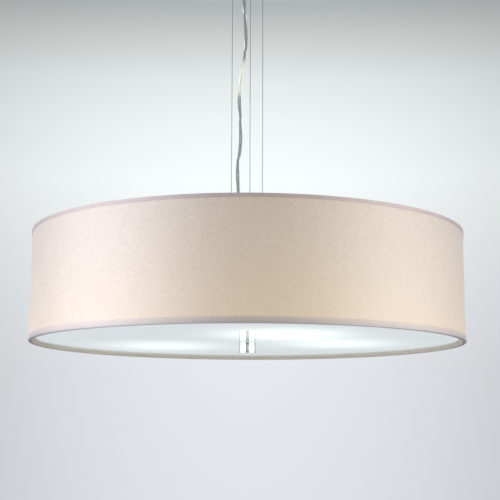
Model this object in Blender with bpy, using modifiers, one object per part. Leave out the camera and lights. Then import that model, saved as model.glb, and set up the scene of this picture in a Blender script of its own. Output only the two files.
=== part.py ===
"""Drum pendant light: three lamps over a frosted glass disc, inside a fabric drum shade.

The light hangs from its ceiling canopy on three thin steel wires, with a clear power cord
beside them. Lengths are in metres and +Z is up. The origin is the middle of the ceiling
bracket's top face, which lies flat on the ceiling.
"""

import bmesh
import bpy
from math import acos, cos, degrees, pi, radians, sin, sqrt
from mathutils import Vector

# The whole light
SHADE_DIAMETER = 0.600
SHADE_HEIGHT = 0.150
DROP = 0.580  # from the ceiling down to the lower edge of the shade
LAMP_COUNT = 3
FIRST_LAMP_DEGREES = 36
GAP = 0.0003  # clearance between pieces that touch
OVERRUN = 0.002  # how far a cutter runs past what it cuts
MERGE_DISTANCE = 0.00001

# Sides of the round pieces, and the steepest edge that is still shaded smooth
SHADE_SIDES = 48
CANOPY_SIDES = 32
HUB_SIDES = 24
FINIAL_SIDES = 24
BULB_SIDES = 16
MIDDLE_SIDES = 14
SMALL_SIDES = 10
SMOOTH_DEGREES = 40

# Ceiling bracket: a bent steel strap with two slots for the ceiling screws
BRACKET_WIDTH = 0.025
BRACKET_THICKNESS = 0.0015
BRACKET_BEND = 0.003
BRACKET_EAR_DROP = 0.020
BRACKET_CLEARANCE = 0.0006
SLOT_LENGTH = 0.014
SLOT_WIDTH = 0.005
SLOT_SPACING = 0.060

# Canopy: a spun steel cup held to the bracket's ears by two side screws
CANOPY_DIAMETER = 0.120
CANOPY_DEPTH = 0.028
CANOPY_WALL = 0.0012
CANOPY_CORNER = 0.005
CANOPY_CEILING_GAP = 0.0005
SCREW_DIAMETER = 0.004
SCREW_HEAD_DIAMETER = 0.008
SCREW_HEAD_HEIGHT = 0.0025
SCREW_TAIL = 0.002
SCREW_DROP = 0.012

# Terminal block under the bracket
BLOCK_LENGTH = 0.030
BLOCK_WIDTH = 0.017
BLOCK_BASE = 0.006
BLOCK_CORNER = 0.0015
BLOCK_HUMP_DIAMETER = 0.0085
BLOCK_HUMP_LENGTH = 0.013
BLOCK_POLE_PITCH = 0.0095
BLOCK_SCREW_DIAMETER = 0.0036
BLOCK_SCREW_DEPTH = 0.004

# Suspension wires, their ends on the lamp, and the grippers in the canopy
WIRE_DIAMETER = 0.001
WIRE_CIRCLE_DIAMETER = 0.052
WIRE_TAIL = 0.004
WIRE_END_DIAMETER = 0.007
WIRE_END_HEIGHT = 0.012
WIRE_END_CHAMFER = 0.001
WIRE_END_SHANK_DIAMETER = 0.004
WIRE_SEAT_DEPTH = 0.008
BARREL_DIAMETER = 0.0095
BARREL_LENGTH = 0.017
BARREL_CHAMFER = 0.0008
BARREL_SHANK_DIAMETER = 0.007
BARREL_SHANK_TAIL = 0.003
GRIPPER_NUT_WIDTH = 0.010
GRIPPER_NUT_HEIGHT = 0.003
PLUNGER_DIAMETER = 0.0046
PLUNGER_INSIDE = 0.005
PLUNGER_OUTSIDE = 0.0035
PLUNGER_COLLAR_DIAMETER = 0.0064
PLUNGER_COLLAR_HEIGHT = 0.0015
PLUNGER_TRAVEL = 0.002

# Cord grips: a tapered sleeve with a threaded shank and a nut
GLAND_FLANGE_DIAMETER = 0.014
GLAND_FLANGE_HEIGHT = 0.004
GLAND_TAPER_LENGTH = 0.017
GLAND_TIP_WALL = 0.0012
GLAND_SHANK_DIAMETER = 0.010
GLAND_SHANK_TAIL = 0.0015
GLAND_NUT_WIDTH = 0.014
GLAND_NUT_HEIGHT = 0.004

# Power cord: clear sleeve over twisted cores, with its route from the canopy to the lamp
CORD_DIAMETER = 0.005
CORD_STEP = 0.015
CORD_TOP = (-0.0070, 0.0000)
CORD_FOOT = (-0.0138, -0.0160)
CORD_ROUTE = (
    (-0.0070, 0.0000, -0.0640),
    (-0.0064, -0.0008, -0.0800),
    (-0.0054, -0.0016, -0.0980),
    (-0.0041, -0.0022, -0.1190),
    (-0.0035, -0.0026, -0.1360),
    (-0.0046, -0.0036, -0.1550),
    (-0.0074, -0.0052, -0.1750),
    (-0.0102, -0.0070, -0.1950),
    (-0.0123, -0.0086, -0.2140),
    (-0.0128, -0.0096, -0.2320),
    (-0.0120, -0.0100, -0.2500),
    (-0.0108, -0.0104, -0.2690),
    (-0.0107, -0.0112, -0.2870),
    (-0.0120, -0.0124, -0.3050),
    (-0.0142, -0.0138, -0.3240),
    (-0.0147, -0.0148, -0.3430),
    (-0.0142, -0.0155, -0.3650),
    (-0.0139, -0.0160, -0.3860),
)

# Suspension plate, threaded rod, its nuts and the spacer tube
PLATE_DIAMETER = 0.068
PLATE_THICKNESS = 0.003
PLATE_CHAMFER = 0.0006
ROD_DIAMETER = 0.010
ROD_BORE_DIAMETER = 0.006
ROD_CHAMFER = 0.0008
ROD_ABOVE_NUT = 0.003
ROD_INTO_CAP = 0.0085
NUT_WIDTH = 0.017
NUT_HEIGHT = 0.005
SPACER_DIAMETER = 0.016

# Hub: a cup with a lid, which the three lamp arms leave
LAMP_HEIGHT = 0.080  # lamp axis over the lower edge of the shade
HUB_DIAMETER = 0.064
HUB_HEIGHT = 0.036
HUB_WALL = 0.0012
HUB_CORNER = 0.004
COVER_THICKNESS = 0.0015
COVER_LIP = 0.003
LEAD_INTO_HUB = 0.010

# Lamp arms and lampholders
ARM_DIAMETER = 0.010
ARM_BORE_DIAMETER = 0.007
ARM_REACH = 0.012
ARM_INTO_HUB = 0.006
ARM_INTO_HOLDER = 0.006
ARM_COLLAR_DIAMETER = 0.0155
ARM_COLLAR_LENGTH = 0.004
HOLDER_DIAMETER = 0.040
HOLDER_RIM = 0.006
HOLDER_STEP = 0.001
HOLDER_SKIRT_LENGTH = 0.036
HOLDER_CAP_LENGTH = 0.0157
HOLDER_CAP_REAR_DIAMETER = 0.022
HOLDER_CAP_STRAIGHT = 0.006

# Bulbs: a blown glass envelope seated in a screw cap
BULB_DIAMETER = 0.060
BULB_NECK_DIAMETER = 0.0246
BULB_NECK_LENGTH = 0.002
BULB_BLEND_RADIUS = 0.040
BULB_WALL = 0.0008
BULB_SEAT = 0.004
BULB_CAP_DIAMETER = 0.0264
BULB_CAP_LENGTH = 0.0265
BULB_CAP_PROUD = 0.001
BULB_CAP_THREAD = 0.018
BULB_CONTACT_DIAMETER = 0.010
BULB_CAP_WALL = 0.0016

# Shade: two ring frames, a stiff liner, the fabric and folded hems
RING_WIRE_DIAMETER = 0.003
RING_WIRE_SIDES = 6
SPOKE_DIAMETER = 0.003
SPOKE_SIDES = 6
EYE_DIAMETER = 0.025
EYE_THICKNESS = 0.003
FABRIC_THICKNESS = 0.0006
LINER_THICKNESS = 0.0006
HEM_THICKNESS = 0.0004
TOP_HEM_OUTSIDE = 0.0048
BOTTOM_HEM_OUTSIDE = 0.0075
HEM_INSIDE = 0.0065
NOTCH_CLEARANCE = 0.001

# Frosted glass, its washers and the finial that holds it up
GLASS_THICKNESS = 0.004
GLASS_EDGE_GAP = 0.0038
GLASS_RECESS = 0.0035  # underside of the glass over the lower edge of the shade
GLASS_CHAMFER = 0.0006
LOWER_WASHER_DIAMETER = 0.020
LOWER_WASHER_THICKNESS = 0.001
UPPER_WASHER_DIAMETER = 0.026
UPPER_WASHER_THICKNESS = 0.0015
FINIAL_DIAMETER = 0.023
FINIAL_CHAMFER = 0.0004
COLLAR_HEIGHT = 0.0024
COLLAR_RIM_CLEARANCE = 0.0005  # under the glass, less than the washer stands out
CAP_HEIGHT = 0.012
CAP_BORE_CLEARANCE = 0.001

# Finishes: colour, roughness, metallic
ZINC = ((0.62, 0.63, 0.64), 0.40, 1.0)
NICKEL = ((0.66, 0.65, 0.63), 0.28, 1.0)
CHROME = ((0.80, 0.81, 0.82), 0.06, 1.0)
STEEL_WIRE = ((0.45, 0.45, 0.46), 0.35, 1.0)
BRASS = ((0.72, 0.58, 0.32), 0.35, 1.0)
WHITE_PLASTIC = ((0.86, 0.86, 0.84), 0.45, 0.0)
WHITE_METAL = ((0.84, 0.84, 0.82), 0.50, 0.0)
CLEAR_PLASTIC = ((0.55, 0.56, 0.57), 0.20, 0.0)
RUBBER = ((0.80, 0.80, 0.78), 0.60, 0.0)
LINER = ((0.90, 0.88, 0.82), 0.55, 0.0)
FABRIC = ((0.80, 0.72, 0.64), 0.85, 0.0)
HEM = ((0.66, 0.60, 0.58), 0.85, 0.0)
OPAL_GLASS = ((0.93, 0.93, 0.90), 0.25, 0.0)
FROSTED_GLASS = ((0.82, 0.86, 0.85), 0.45, 0.0)

# Levels, from the ceiling down
CANOPY_BOTTOM = -CANOPY_CEILING_GAP - CANOPY_DEPTH
CANOPY_FLOOR = CANOPY_BOTTOM + CANOPY_WALL
BARREL_BOTTOM = CANOPY_BOTTOM - GAP - BARREL_LENGTH
SHADE_BOTTOM = -DROP
SHADE_TOP = SHADE_BOTTOM + SHADE_HEIGHT
RING_TOP = SHADE_TOP - HEM_THICKNESS - GAP
SPIDER_LEVEL = RING_TOP - RING_WIRE_DIAMETER / 2
BOTTOM_RING_LEVEL = SHADE_BOTTOM + HEM_THICKNESS + GAP + RING_WIRE_DIAMETER / 2
PLATE_BOTTOM = SPIDER_LEVEL + EYE_THICKNESS / 2 + GAP
PLATE_TOP = PLATE_BOTTOM + PLATE_THICKNESS
LAMP_LEVEL = SHADE_BOTTOM + LAMP_HEIGHT
HUB_BOTTOM = LAMP_LEVEL - HUB_HEIGHT / 2
HUB_TOP = LAMP_LEVEL + HUB_HEIGHT / 2
COVER_BOTTOM = HUB_TOP + GAP
COVER_TOP = COVER_BOTTOM + COVER_THICKNESS
GLASS_BOTTOM = SHADE_BOTTOM + GLASS_RECESS
GLASS_TOP = GLASS_BOTTOM + GLASS_THICKNESS
UPPER_WASHER_TOP = GLASS_TOP + GAP + UPPER_WASHER_THICKNESS
LOWER_WASHER_TOP = GLASS_BOTTOM - GAP
LOWER_WASHER_BOTTOM = LOWER_WASHER_TOP - LOWER_WASHER_THICKNESS
COLLAR_TOP = GLASS_BOTTOM - COLLAR_RIM_CLEARANCE
COLLAR_BOTTOM = COLLAR_TOP - COLLAR_HEIGHT
CAP_TOP = COLLAR_BOTTOM - GAP
CAP_BOTTOM = CAP_TOP - CAP_HEIGHT
ROD_TOP = PLATE_TOP + GAP + NUT_HEIGHT + ROD_ABOVE_NUT
ROD_BOTTOM = COLLAR_BOTTOM - ROD_INTO_CAP

# Distances from the middle of the drum
HEM_OUTER = SHADE_DIAMETER / 2
FABRIC_OUTER = HEM_OUTER - HEM_THICKNESS - GAP
LINER_OUTER = FABRIC_OUTER - FABRIC_THICKNESS - GAP
LINER_INNER = LINER_OUTER - LINER_THICKNESS
RING_RADIUS = LINER_INNER - GAP - RING_WIRE_DIAMETER / 2
HEM_INNER = RING_RADIUS - RING_WIRE_DIAMETER / 2 - GAP - HEM_THICKNESS
GLASS_RADIUS = HEM_INNER - GLASS_EDGE_GAP

# Distances along a lamp's axis, from the middle of the hub outwards
HOLDER_REAR = HUB_DIAMETER / 2 + ARM_REACH
SKIRT_REAR = HOLDER_REAR + HOLDER_CAP_LENGTH + GAP
HOLDER_MOUTH = SKIRT_REAR + HOLDER_SKIRT_LENGTH
BULB_CAP_FRONT = HOLDER_MOUTH + BULB_CAP_PROUD
BULB_CAP_REAR = BULB_CAP_FRONT - BULB_CAP_LENGTH


def clear_scene():
    """Remove whatever the open file holds."""
    for old in list(bpy.data.objects):
        bpy.data.objects.remove(old, do_unlink=True)


def new_collection(name):
    group = bpy.data.collections.new(name)
    bpy.context.scene.collection.children.link(group)
    return group


def new_material(name, finish):
    """A Principled material of the part's own, from a finish above."""
    colour, roughness, metallic = finish
    material = bpy.data.materials.new(name)
    material.use_nodes = True
    shader = material.node_tree.nodes["Principled BSDF"]
    shader.inputs["Base Color"].default_value = (*colour, 1)
    shader.inputs["Roughness"].default_value = roughness
    shader.inputs["Metallic"].default_value = metallic
    material.diffuse_color = (*colour, 1)
    return material


def add_part(name, data, finish, location=(0, 0, 0), parent=None, tilt=0):
    """Put a mesh or curve in the light's collection, with its own material."""
    part = bpy.data.objects.new(name, data)
    data.materials.append(new_material(name, finish))
    part.location = location
    part.rotation_euler = (0, tilt, 0)
    part.parent = parent
    LIGHT.objects.link(part)
    return part


def add_cutter(name, mesh, location=(0, 0, 0), parent=None):
    """Put a shape that only cuts or joins others in the cutters' collection."""
    cutter = bpy.data.objects.new(name, mesh)
    cutter.location = location
    cutter.parent = parent
    cutter.hide_render = True
    cutter.display_type = "WIRE"
    CUTTERS.objects.link(cutter)
    return cutter


def add_guide(name, location, turn):
    """An empty that carries what is repeated round the middle of the light."""
    guide = bpy.data.objects.new(name, None)
    guide.location = location
    guide.rotation_euler = (0, 0, turn)
    LIGHT.objects.link(guide)
    return guide


def lamp_turns():
    """The number and direction of each lamp, which its wire and spoke share."""
    first = radians(FIRST_LAMP_DEGREES)
    return [(i + 1, first + 2 * pi * i / LAMP_COUNT) for i in range(LAMP_COUNT)]


def boolean(part, tool, operation="DIFFERENCE"):
    step = part.modifiers.new(tool.name, "BOOLEAN")
    step.operation = operation
    step.object = tool
    step.solver = "EXACT"


def bore_radius(shaft_radius, sides):
    """Radius of a faceted bore that leaves the usual gap round a shaft."""
    return (shaft_radius + GAP) / cos(pi / sides)


def arc(centre, radius, start, end, steps):
    """Points on an arc in the profile's plane, with its angles in degrees."""
    turns = [radians(start + (end - start) * i / steps) for i in range(steps + 1)]
    return [(centre[0] + radius * cos(t), centre[1] + radius * sin(t)) for t in turns]


def profile_mesh(name, profile):
    """The outline of a turned piece, as (radius, height), down its outer side."""
    count = len(profile)
    edges = [(i, i + 1) for i in range(count - 1)]
    if profile[0][0] > 0:
        edges.append((count - 1, 0))
    mesh = bpy.data.meshes.new(name)
    mesh.from_pydata([(r, 0, z) for r, z in profile], edges, [])
    return mesh


def turned(name, profile, sides, finish, **place):
    """A piece turned on a lathe about its own Z axis."""
    part = add_part(name, profile_mesh(name, profile), finish, **place)
    screw = part.modifiers.new("turn", "SCREW")
    screw.steps = screw.render_steps = sides
    screw.use_merge_vertices = True
    screw.merge_threshold = MERGE_DISTANCE
    return part


def cylinder_mesh(name, radius, length, sides):
    shape = bmesh.new()
    bmesh.ops.create_cone(
        shape, cap_ends=True, segments=sides, radius1=radius, radius2=radius, depth=length
    )
    mesh = bpy.data.meshes.new(name)
    shape.to_mesh(mesh)
    shape.free()
    return mesh


def rounded_box_mesh(name, size, radius, steps):
    """A box with its four upright edges rounded."""
    shape = bmesh.new()
    bmesh.ops.create_cube(shape, size=1)
    bmesh.ops.scale(shape, vec=size, verts=shape.verts)
    upright = [e for e in shape.edges if abs(e.verts[0].co.z - e.verts[1].co.z) > size[2] / 2]
    bmesh.ops.bevel(shape, geom=upright, offset=radius, segments=steps, profile=0.5, affect="EDGES")
    mesh = bpy.data.meshes.new(name)
    shape.to_mesh(mesh)
    shape.free()
    return mesh


def drill(part, name, start, end, radius, sides, overrun=OVERRUN, parent=None):
    """Cut a round hole from start to end, and past both by the overrun."""
    start, end = Vector(start), Vector(end)
    run = end - start
    length = run.length + 2 * overrun
    hole = add_cutter(name, cylinder_mesh(name, radius, length, sides), (start + end) / 2, parent)
    hole.rotation_euler = run.to_track_quat("Z", "Y").to_euler()
    boolean(part, hole)


def hex_nut(name, width, height, bore, finish, bottom, centre=(0, 0), turn=0):
    """A plain hexagon nut, with the width across its flats, standing on a level."""
    radius = width / 2 / cos(pi / 6)
    place = (*centre, bottom + height / 2)
    nut = add_part(name, cylinder_mesh(name, radius, height, 6), finish, location=place)
    nut.rotation_euler = (0, 0, turn)
    foot = Vector((*centre, bottom))
    drill(nut, name + "_bore", foot, foot + Vector((0, 0, height)), bore, SMALL_SIDES)
    return nut


def smooth_route(points, step):
    """Evenly spaced points on a smooth curve through the given ones."""
    knots = [Vector(p) for p in points]
    knots = [2 * knots[0] - knots[1], *knots, 2 * knots[-1] - knots[-2]]
    fine = []
    samples = 16
    for a, b, c, d in zip(knots, knots[1:], knots[2:], knots[3:]):
        for i in range(samples):
            t = i / samples
            bend = (2 * a - 5 * b + 4 * c - d) * t * t + (3 * b - a - 3 * c + d) * t ** 3
            fine.append((2 * b + (c - a) * t + bend) / 2)
    fine.append(knots[-2])
    total = sum((q - p).length for p, q in zip(fine, fine[1:]))
    count = round(total / step)
    route, walked, target = [fine[0]], 0, total / count
    for p, q in zip(fine, fine[1:]):
        length = (q - p).length
        while walked + length >= target - GAP and len(route) < count:
            route.append(p.lerp(q, (target - walked) / length))
            target += total / count
        walked += length
    return [*route, fine[-1]]


def tube(name, points, diameter, bevel_steps, finish):
    """A round cord or wire along a list of points, with closed ends."""
    curve = bpy.data.curves.new(name, "CURVE")
    curve.dimensions = "3D"
    curve.bevel_depth = diameter / 2
    curve.bevel_resolution = bevel_steps
    curve.use_fill_caps = True
    spline = curve.splines.new("POLY")
    spline.points.add(len(points) - 1)
    for spot, point in zip(spline.points, points):
        spot.co = (*point, 1)
    return add_part(name, curve, finish)


def settle(part):
    """Make the modifiers real, shade round faces smooth and keep hard edges sharp."""
    ready = part.evaluated_get(bpy.context.evaluated_depsgraph_get())
    mesh = bpy.data.meshes.new_from_object(ready)
    mesh.name = part.name
    mesh.shade_smooth()
    mesh.set_sharp_from_angle(angle=radians(SMOOTH_DEGREES))
    return mesh


def wire_spots():
    """Number and place of each wire on its circle, seen from above."""
    radius = WIRE_CIRCLE_DIAMETER / 2
    return [(i, (radius * cos(t), radius * sin(t))) for i, t in lamp_turns()]


def ear_distance():
    """How far the bracket's ears stand out, so that their corners clear the canopy."""
    inside = CANOPY_DIAMETER / 2 - CANOPY_WALL
    return sqrt(inside ** 2 - (BRACKET_WIDTH / 2) ** 2) - BRACKET_CLEARANCE


def build_bracket():
    """A strap bent down at both ends, slotted for the ceiling and drilled for the canopy."""
    ear = ear_distance()
    right = arc((ear - BRACKET_BEND, -BRACKET_BEND), BRACKET_BEND, 90, 0, 4)
    right.append((ear, -BRACKET_EAR_DROP))
    outline = [(-x, z) for x, z in reversed(right)] + right
    half = BRACKET_WIDTH / 2
    mesh = bpy.data.meshes.new("ceiling_bracket")
    corners = [(x, y, z) for x, z in outline for y in (-half, half)]
    faces = [(2 * i, 2 * i + 2, 2 * i + 3, 2 * i + 1) for i in range(len(outline) - 1)]
    mesh.from_pydata(corners, [], faces)
    bracket = add_part("ceiling_bracket", mesh, ZINC)
    wall = bracket.modifiers.new("sheet", "SOLIDIFY")
    wall.thickness = BRACKET_THICKNESS
    wall.offset = -1
    wall.use_even_offset = True
    deep = BRACKET_THICKNESS + 2 * OVERRUN
    for side in (-1, 1):
        size = (SLOT_LENGTH, SLOT_WIDTH, deep)
        # the slot's ends are all but half round, so that its edges never meet
        slot = rounded_box_mesh("bracket_slot", size, SLOT_WIDTH / 2 - GAP, 4)
        spot = (side * SLOT_SPACING / 2, 0, -BRACKET_THICKNESS / 2)
        boolean(bracket, add_cutter("bracket_slot", slot, spot))
        inner, outer = (ear - BRACKET_THICKNESS) * side, ear * side
        radius = bore_radius(SCREW_DIAMETER / 2, SMALL_SIDES)
        start, end = (inner, 0, -SCREW_DROP), (outer, 0, -SCREW_DROP)
        drill(bracket, "bracket_screw_hole", start, end, radius, SMALL_SIDES)


def build_canopy():
    """The cup, open at the ceiling, with holes for grippers, cord grip and side screws."""
    outer, rim = CANOPY_DIAMETER / 2, -CANOPY_CEILING_GAP
    inner, inner_corner = outer - CANOPY_WALL, CANOPY_CORNER - CANOPY_WALL
    bend = (inner - inner_corner, CANOPY_FLOOR + inner_corner)
    profile = [(0, CANOPY_FLOOR), *arc(bend, inner_corner, -90, 0, 2), (inner, rim), (outer, rim)]
    profile += [*arc(bend, CANOPY_CORNER, 0, -90, 3), (0, CANOPY_BOTTOM)]
    cup = turned("canopy_cup", profile, CANOPY_SIDES, NICKEL)
    for number, (x, y) in wire_spots():
        radius = bore_radius(BARREL_SHANK_DIAMETER / 2, SMALL_SIDES)
        start, end = (x, y, CANOPY_BOTTOM), (x, y, CANOPY_FLOOR)
        drill(cup, f"gripper_hole_{number}", start, end, radius, SMALL_SIDES)
    radius = bore_radius(GLAND_SHANK_DIAMETER / 2, MIDDLE_SIDES)
    start, end = (*CORD_TOP, CANOPY_BOTTOM), (*CORD_TOP, CANOPY_FLOOR)
    drill(cup, "canopy_cord_hole", start, end, radius, MIDDLE_SIDES)
    radius = bore_radius(SCREW_DIAMETER / 2, SMALL_SIDES)
    for side in (-1, 1):
        start, end = (side * inner, 0, -SCREW_DROP), (side * outer, 0, -SCREW_DROP)
        drill(cup, "canopy_screw_hole", start, end, radius, SMALL_SIDES)


def build_canopy_screws():
    """Pan head screws through the canopy's side into the bracket's ears."""
    seat = CANOPY_DIAMETER / 2 + GAP
    head, shank, edge = SCREW_HEAD_DIAMETER / 2, SCREW_DIAMETER / 2, SCREW_HEAD_HEIGHT / 3
    tail = ear_distance() - BRACKET_THICKNESS - SCREW_TAIL
    profile = [(0, seat + SCREW_HEAD_HEIGHT), (head - edge, seat + SCREW_HEAD_HEIGHT)]
    profile += [(head, seat + SCREW_HEAD_HEIGHT - edge), (head, seat), (shank, seat)]
    profile += [(shank, tail), (0, tail)]
    for number, tilt in ((1, pi / 2), (2, -pi / 2)):
        place = (0, 0, -SCREW_DROP)
        name = f"canopy_screw_{number}"
        turned(name, profile, SMALL_SIDES, NICKEL, location=place, tilt=tilt)


def build_terminal_block():
    """Three screw terminals in one moulding, under the bracket."""
    top = -BRACKET_THICKNESS - GAP
    base = rounded_box_mesh("terminal_block", (BLOCK_LENGTH, BLOCK_WIDTH, BLOCK_BASE), BLOCK_CORNER, 2)
    place = (0, 0, top - BLOCK_BASE / 2)
    block = add_part("terminal_block", base, WHITE_PLASTIC, location=place)
    level = top - BLOCK_BASE
    for pole in (-1, 0, 1):
        x = pole * BLOCK_POLE_PITCH
        mesh = cylinder_mesh("terminal_hump", BLOCK_HUMP_DIAMETER / 2, BLOCK_HUMP_LENGTH, SMALL_SIDES)
        hump = add_cutter("terminal_hump", mesh, (x, 0, level))
        hump.rotation_euler = (pi / 2, 0, 0)
        boolean(block, hump, "UNION")
    bottom = level - BLOCK_HUMP_DIAMETER / 2
    for pole in (-1, 0, 1):
        x = pole * BLOCK_POLE_PITCH
        start, end = (x, 0, bottom - OVERRUN), (x, 0, bottom + BLOCK_SCREW_DEPTH)
        drill(block, "terminal_screw_hole", start, end, BLOCK_SCREW_DIAMETER / 2, SMALL_SIDES, 0)
    return bottom


def build_gland(name, seat, centre, wall, points_up, finish):
    """A cord grip and its nut, with its flange on a wall and its taper pointing away."""
    flange, shank = GLAND_FLANGE_DIAMETER / 2, GLAND_SHANK_DIAMETER / 2
    bore = bore_radius(CORD_DIAMETER / 2, MIDDLE_SIDES)
    tip = bore + GLAND_TIP_WALL
    shoulder = flange - (flange - tip) / 3
    tip_height = GLAND_FLANGE_HEIGHT + GLAND_TAPER_LENGTH
    foot = -GAP - wall - GAP - GLAND_NUT_HEIGHT - GLAND_SHANK_TAIL
    profile = [(bore, tip_height), (tip, tip_height), (shoulder, GLAND_FLANGE_HEIGHT)]
    profile += [(flange, GLAND_FLANGE_HEIGHT), (flange, 0), (shank, 0), (shank, foot), (bore, foot)]
    away = 1 if points_up else -1
    place = (*centre, seat + away * GAP)
    turned(name, profile, MIDDLE_SIDES, finish, location=place, tilt=0 if points_up else pi)
    back = seat - away * (wall + GAP)
    bottom = back - GLAND_NUT_HEIGHT if points_up else back
    hole = bore_radius(shank, SMALL_SIDES)
    hex_nut(name + "_nut", GLAND_NUT_WIDTH, GLAND_NUT_HEIGHT, hole, finish, bottom, centre)


def build_grippers():
    """Wire grippers: a barrel and nut in the canopy, and a sprung plunger that frees the wire."""
    half, shank = BARREL_DIAMETER / 2, BARREL_SHANK_DIAMETER / 2
    bore = bore_radius(WIRE_DIAMETER / 2, SMALL_SIDES)
    pocket = bore_radius(PLUNGER_DIAMETER / 2, SMALL_SIDES)
    pocket_depth = PLUNGER_INSIDE + PLUNGER_TRAVEL + GAP
    top = GAP + CANOPY_WALL + GAP + GRIPPER_NUT_HEIGHT + BARREL_SHANK_TAIL
    barrel = [(bore, top), (shank, top), (shank, 0), (half, 0)]
    barrel += [(half, BARREL_CHAMFER - BARREL_LENGTH), (half - BARREL_CHAMFER, -BARREL_LENGTH)]
    barrel += [(pocket, -BARREL_LENGTH), (pocket, pocket_depth - BARREL_LENGTH)]
    barrel += [(bore, pocket_depth - BARREL_LENGTH)]
    stem, collar = PLUNGER_DIAMETER / 2, PLUNGER_COLLAR_DIAMETER / 2
    foot = -PLUNGER_OUTSIDE - PLUNGER_COLLAR_HEIGHT
    plunger = [(bore, PLUNGER_INSIDE), (stem, PLUNGER_INSIDE), (stem, -PLUNGER_OUTSIDE)]
    plunger += [(collar, -PLUNGER_OUTSIDE), (collar, foot), (bore, foot)]
    hole = bore_radius(shank, SMALL_SIDES)
    for number, spot in wire_spots():
        place = (*spot, CANOPY_BOTTOM - GAP)
        turned(f"gripper_barrel_{number}", barrel, SMALL_SIDES, NICKEL, location=place)
        place = (*spot, BARREL_BOTTOM)
        turned(f"gripper_plunger_{number}", plunger, SMALL_SIDES, CHROME, location=place)
        name, size = f"gripper_nut_{number}", (GRIPPER_NUT_WIDTH, GRIPPER_NUT_HEIGHT)
        hex_nut(name, *size, hole, ZINC, CANOPY_FLOOR + GAP, spot)


def build_wires():
    """Steel wires from the grippers down to the screwed ends on the suspension plate."""
    barrel_top = CANOPY_FLOOR + GAP + GRIPPER_NUT_HEIGHT + BARREL_SHANK_TAIL
    seat = PLATE_TOP + GAP
    end_top = seat + WIRE_END_HEIGHT
    half, shank = WIRE_END_DIAMETER / 2, WIRE_END_SHANK_DIAMETER / 2
    bore = bore_radius(WIRE_DIAMETER / 2, SMALL_SIDES)
    foot = -PLATE_THICKNESS  # just short of the plate's underside, where the spokes pass
    pit = WIRE_END_HEIGHT - WIRE_SEAT_DEPTH
    profile = [(0, pit), (bore, pit), (bore, WIRE_END_HEIGHT)]
    profile += [(half - WIRE_END_CHAMFER, WIRE_END_HEIGHT), (half, WIRE_END_HEIGHT - WIRE_END_CHAMFER)]
    profile += [(half, 0), (shank, 0), (shank, foot), (0, foot)]
    for number, spot in wire_spots():
        turned(f"wire_end_{number}", profile, SMALL_SIDES, CHROME, location=(*spot, seat))
        points = [(*spot, barrel_top + WIRE_TAIL), (*spot, end_top - WIRE_SEAT_DEPTH + GAP)]
        tube(f"suspension_wire_{number}", points, WIRE_DIAMETER, 2, STEEL_WIRE)


def build_cords(block_bottom):
    """The power cord from the terminal block to the plate, and its lead on into the hub."""
    meeting = (PLATE_TOP + PLATE_BOTTOM) / 2
    points = [(*CORD_TOP, block_bottom - GAP), (*CORD_TOP, CANOPY_BOTTOM), *CORD_ROUTE]
    points += [(*CORD_FOOT, PLATE_TOP + GLAND_TAPER_LENGTH), (*CORD_FOOT, meeting + GAP / 2)]
    tube("power_cord", smooth_route(points, CORD_STEP), CORD_DIAMETER, 2, CLEAR_PLASTIC)
    ends = [(*CORD_FOOT, meeting - GAP / 2), (*CORD_FOOT, HUB_TOP - LEAD_INTO_HUB)]
    tube("inner_lead", ends, CORD_DIAMETER, 2, CLEAR_PLASTIC)


def build_plate():
    """The disc that the wires carry, clamped on the rod by the top nut."""
    radius, chamfer = PLATE_DIAMETER / 2, PLATE_CHAMFER
    profile = [(0, PLATE_THICKNESS), (radius - chamfer, PLATE_THICKNESS)]
    profile += [(radius, PLATE_THICKNESS - chamfer), (radius, 0), (0, 0)]
    plate = turned("suspension_plate", profile, HUB_SIDES, NICKEL, location=(0, 0, PLATE_BOTTOM))
    hole = bore_radius(ROD_DIAMETER / 2, MIDDLE_SIDES)
    drill(plate, "plate_rod_hole", (0, 0, PLATE_BOTTOM), (0, 0, PLATE_TOP), hole, MIDDLE_SIDES)
    hole = bore_radius(GLAND_SHANK_DIAMETER / 2, MIDDLE_SIDES)
    start, end = (*CORD_FOOT, PLATE_BOTTOM), (*CORD_FOOT, PLATE_TOP)
    drill(plate, "plate_cord_hole", start, end, hole, MIDDLE_SIDES)
    hole = bore_radius(WIRE_END_SHANK_DIAMETER / 2, SMALL_SIDES)
    for number, spot in wire_spots():
        start, end = (*spot, PLATE_BOTTOM), (*spot, PLATE_TOP)
        drill(plate, f"plate_wire_hole_{number}", start, end, hole, SMALL_SIDES)


def build_rod():
    """A threaded pipe from the top nut down into the finial, its nuts and the spacer tube."""
    outer, inner = ROD_DIAMETER / 2, ROD_BORE_DIAMETER / 2
    profile = [(inner, ROD_TOP), (outer - ROD_CHAMFER, ROD_TOP), (outer, ROD_TOP - ROD_CHAMFER)]
    profile += [(outer, ROD_BOTTOM + ROD_CHAMFER), (outer - ROD_CHAMFER, ROD_BOTTOM)]
    profile += [(inner, ROD_BOTTOM)]
    turned("threaded_rod", profile, MIDDLE_SIDES, ZINC)
    hole = bore_radius(outer, SMALL_SIDES)
    hex_nut("top_nut", NUT_WIDTH, NUT_HEIGHT, hole, ZINC, PLATE_TOP + GAP)
    hex_nut("hub_nut", NUT_WIDTH, NUT_HEIGHT, hole, ZINC, HUB_BOTTOM - GAP - NUT_HEIGHT)
    hex_nut("stop_nut", NUT_WIDTH, NUT_HEIGHT, hole, ZINC, UPPER_WASHER_TOP + GAP)
    top, bottom = SPIDER_LEVEL - EYE_THICKNESS / 2 - GAP, COVER_TOP + GAP
    wall, bore = SPACER_DIAMETER / 2, bore_radius(outer, MIDDLE_SIDES)
    profile = [(bore, top), (wall, top), (wall, bottom), (bore, bottom)]
    turned("spacer_tube", profile, MIDDLE_SIDES, WHITE_METAL)


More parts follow.
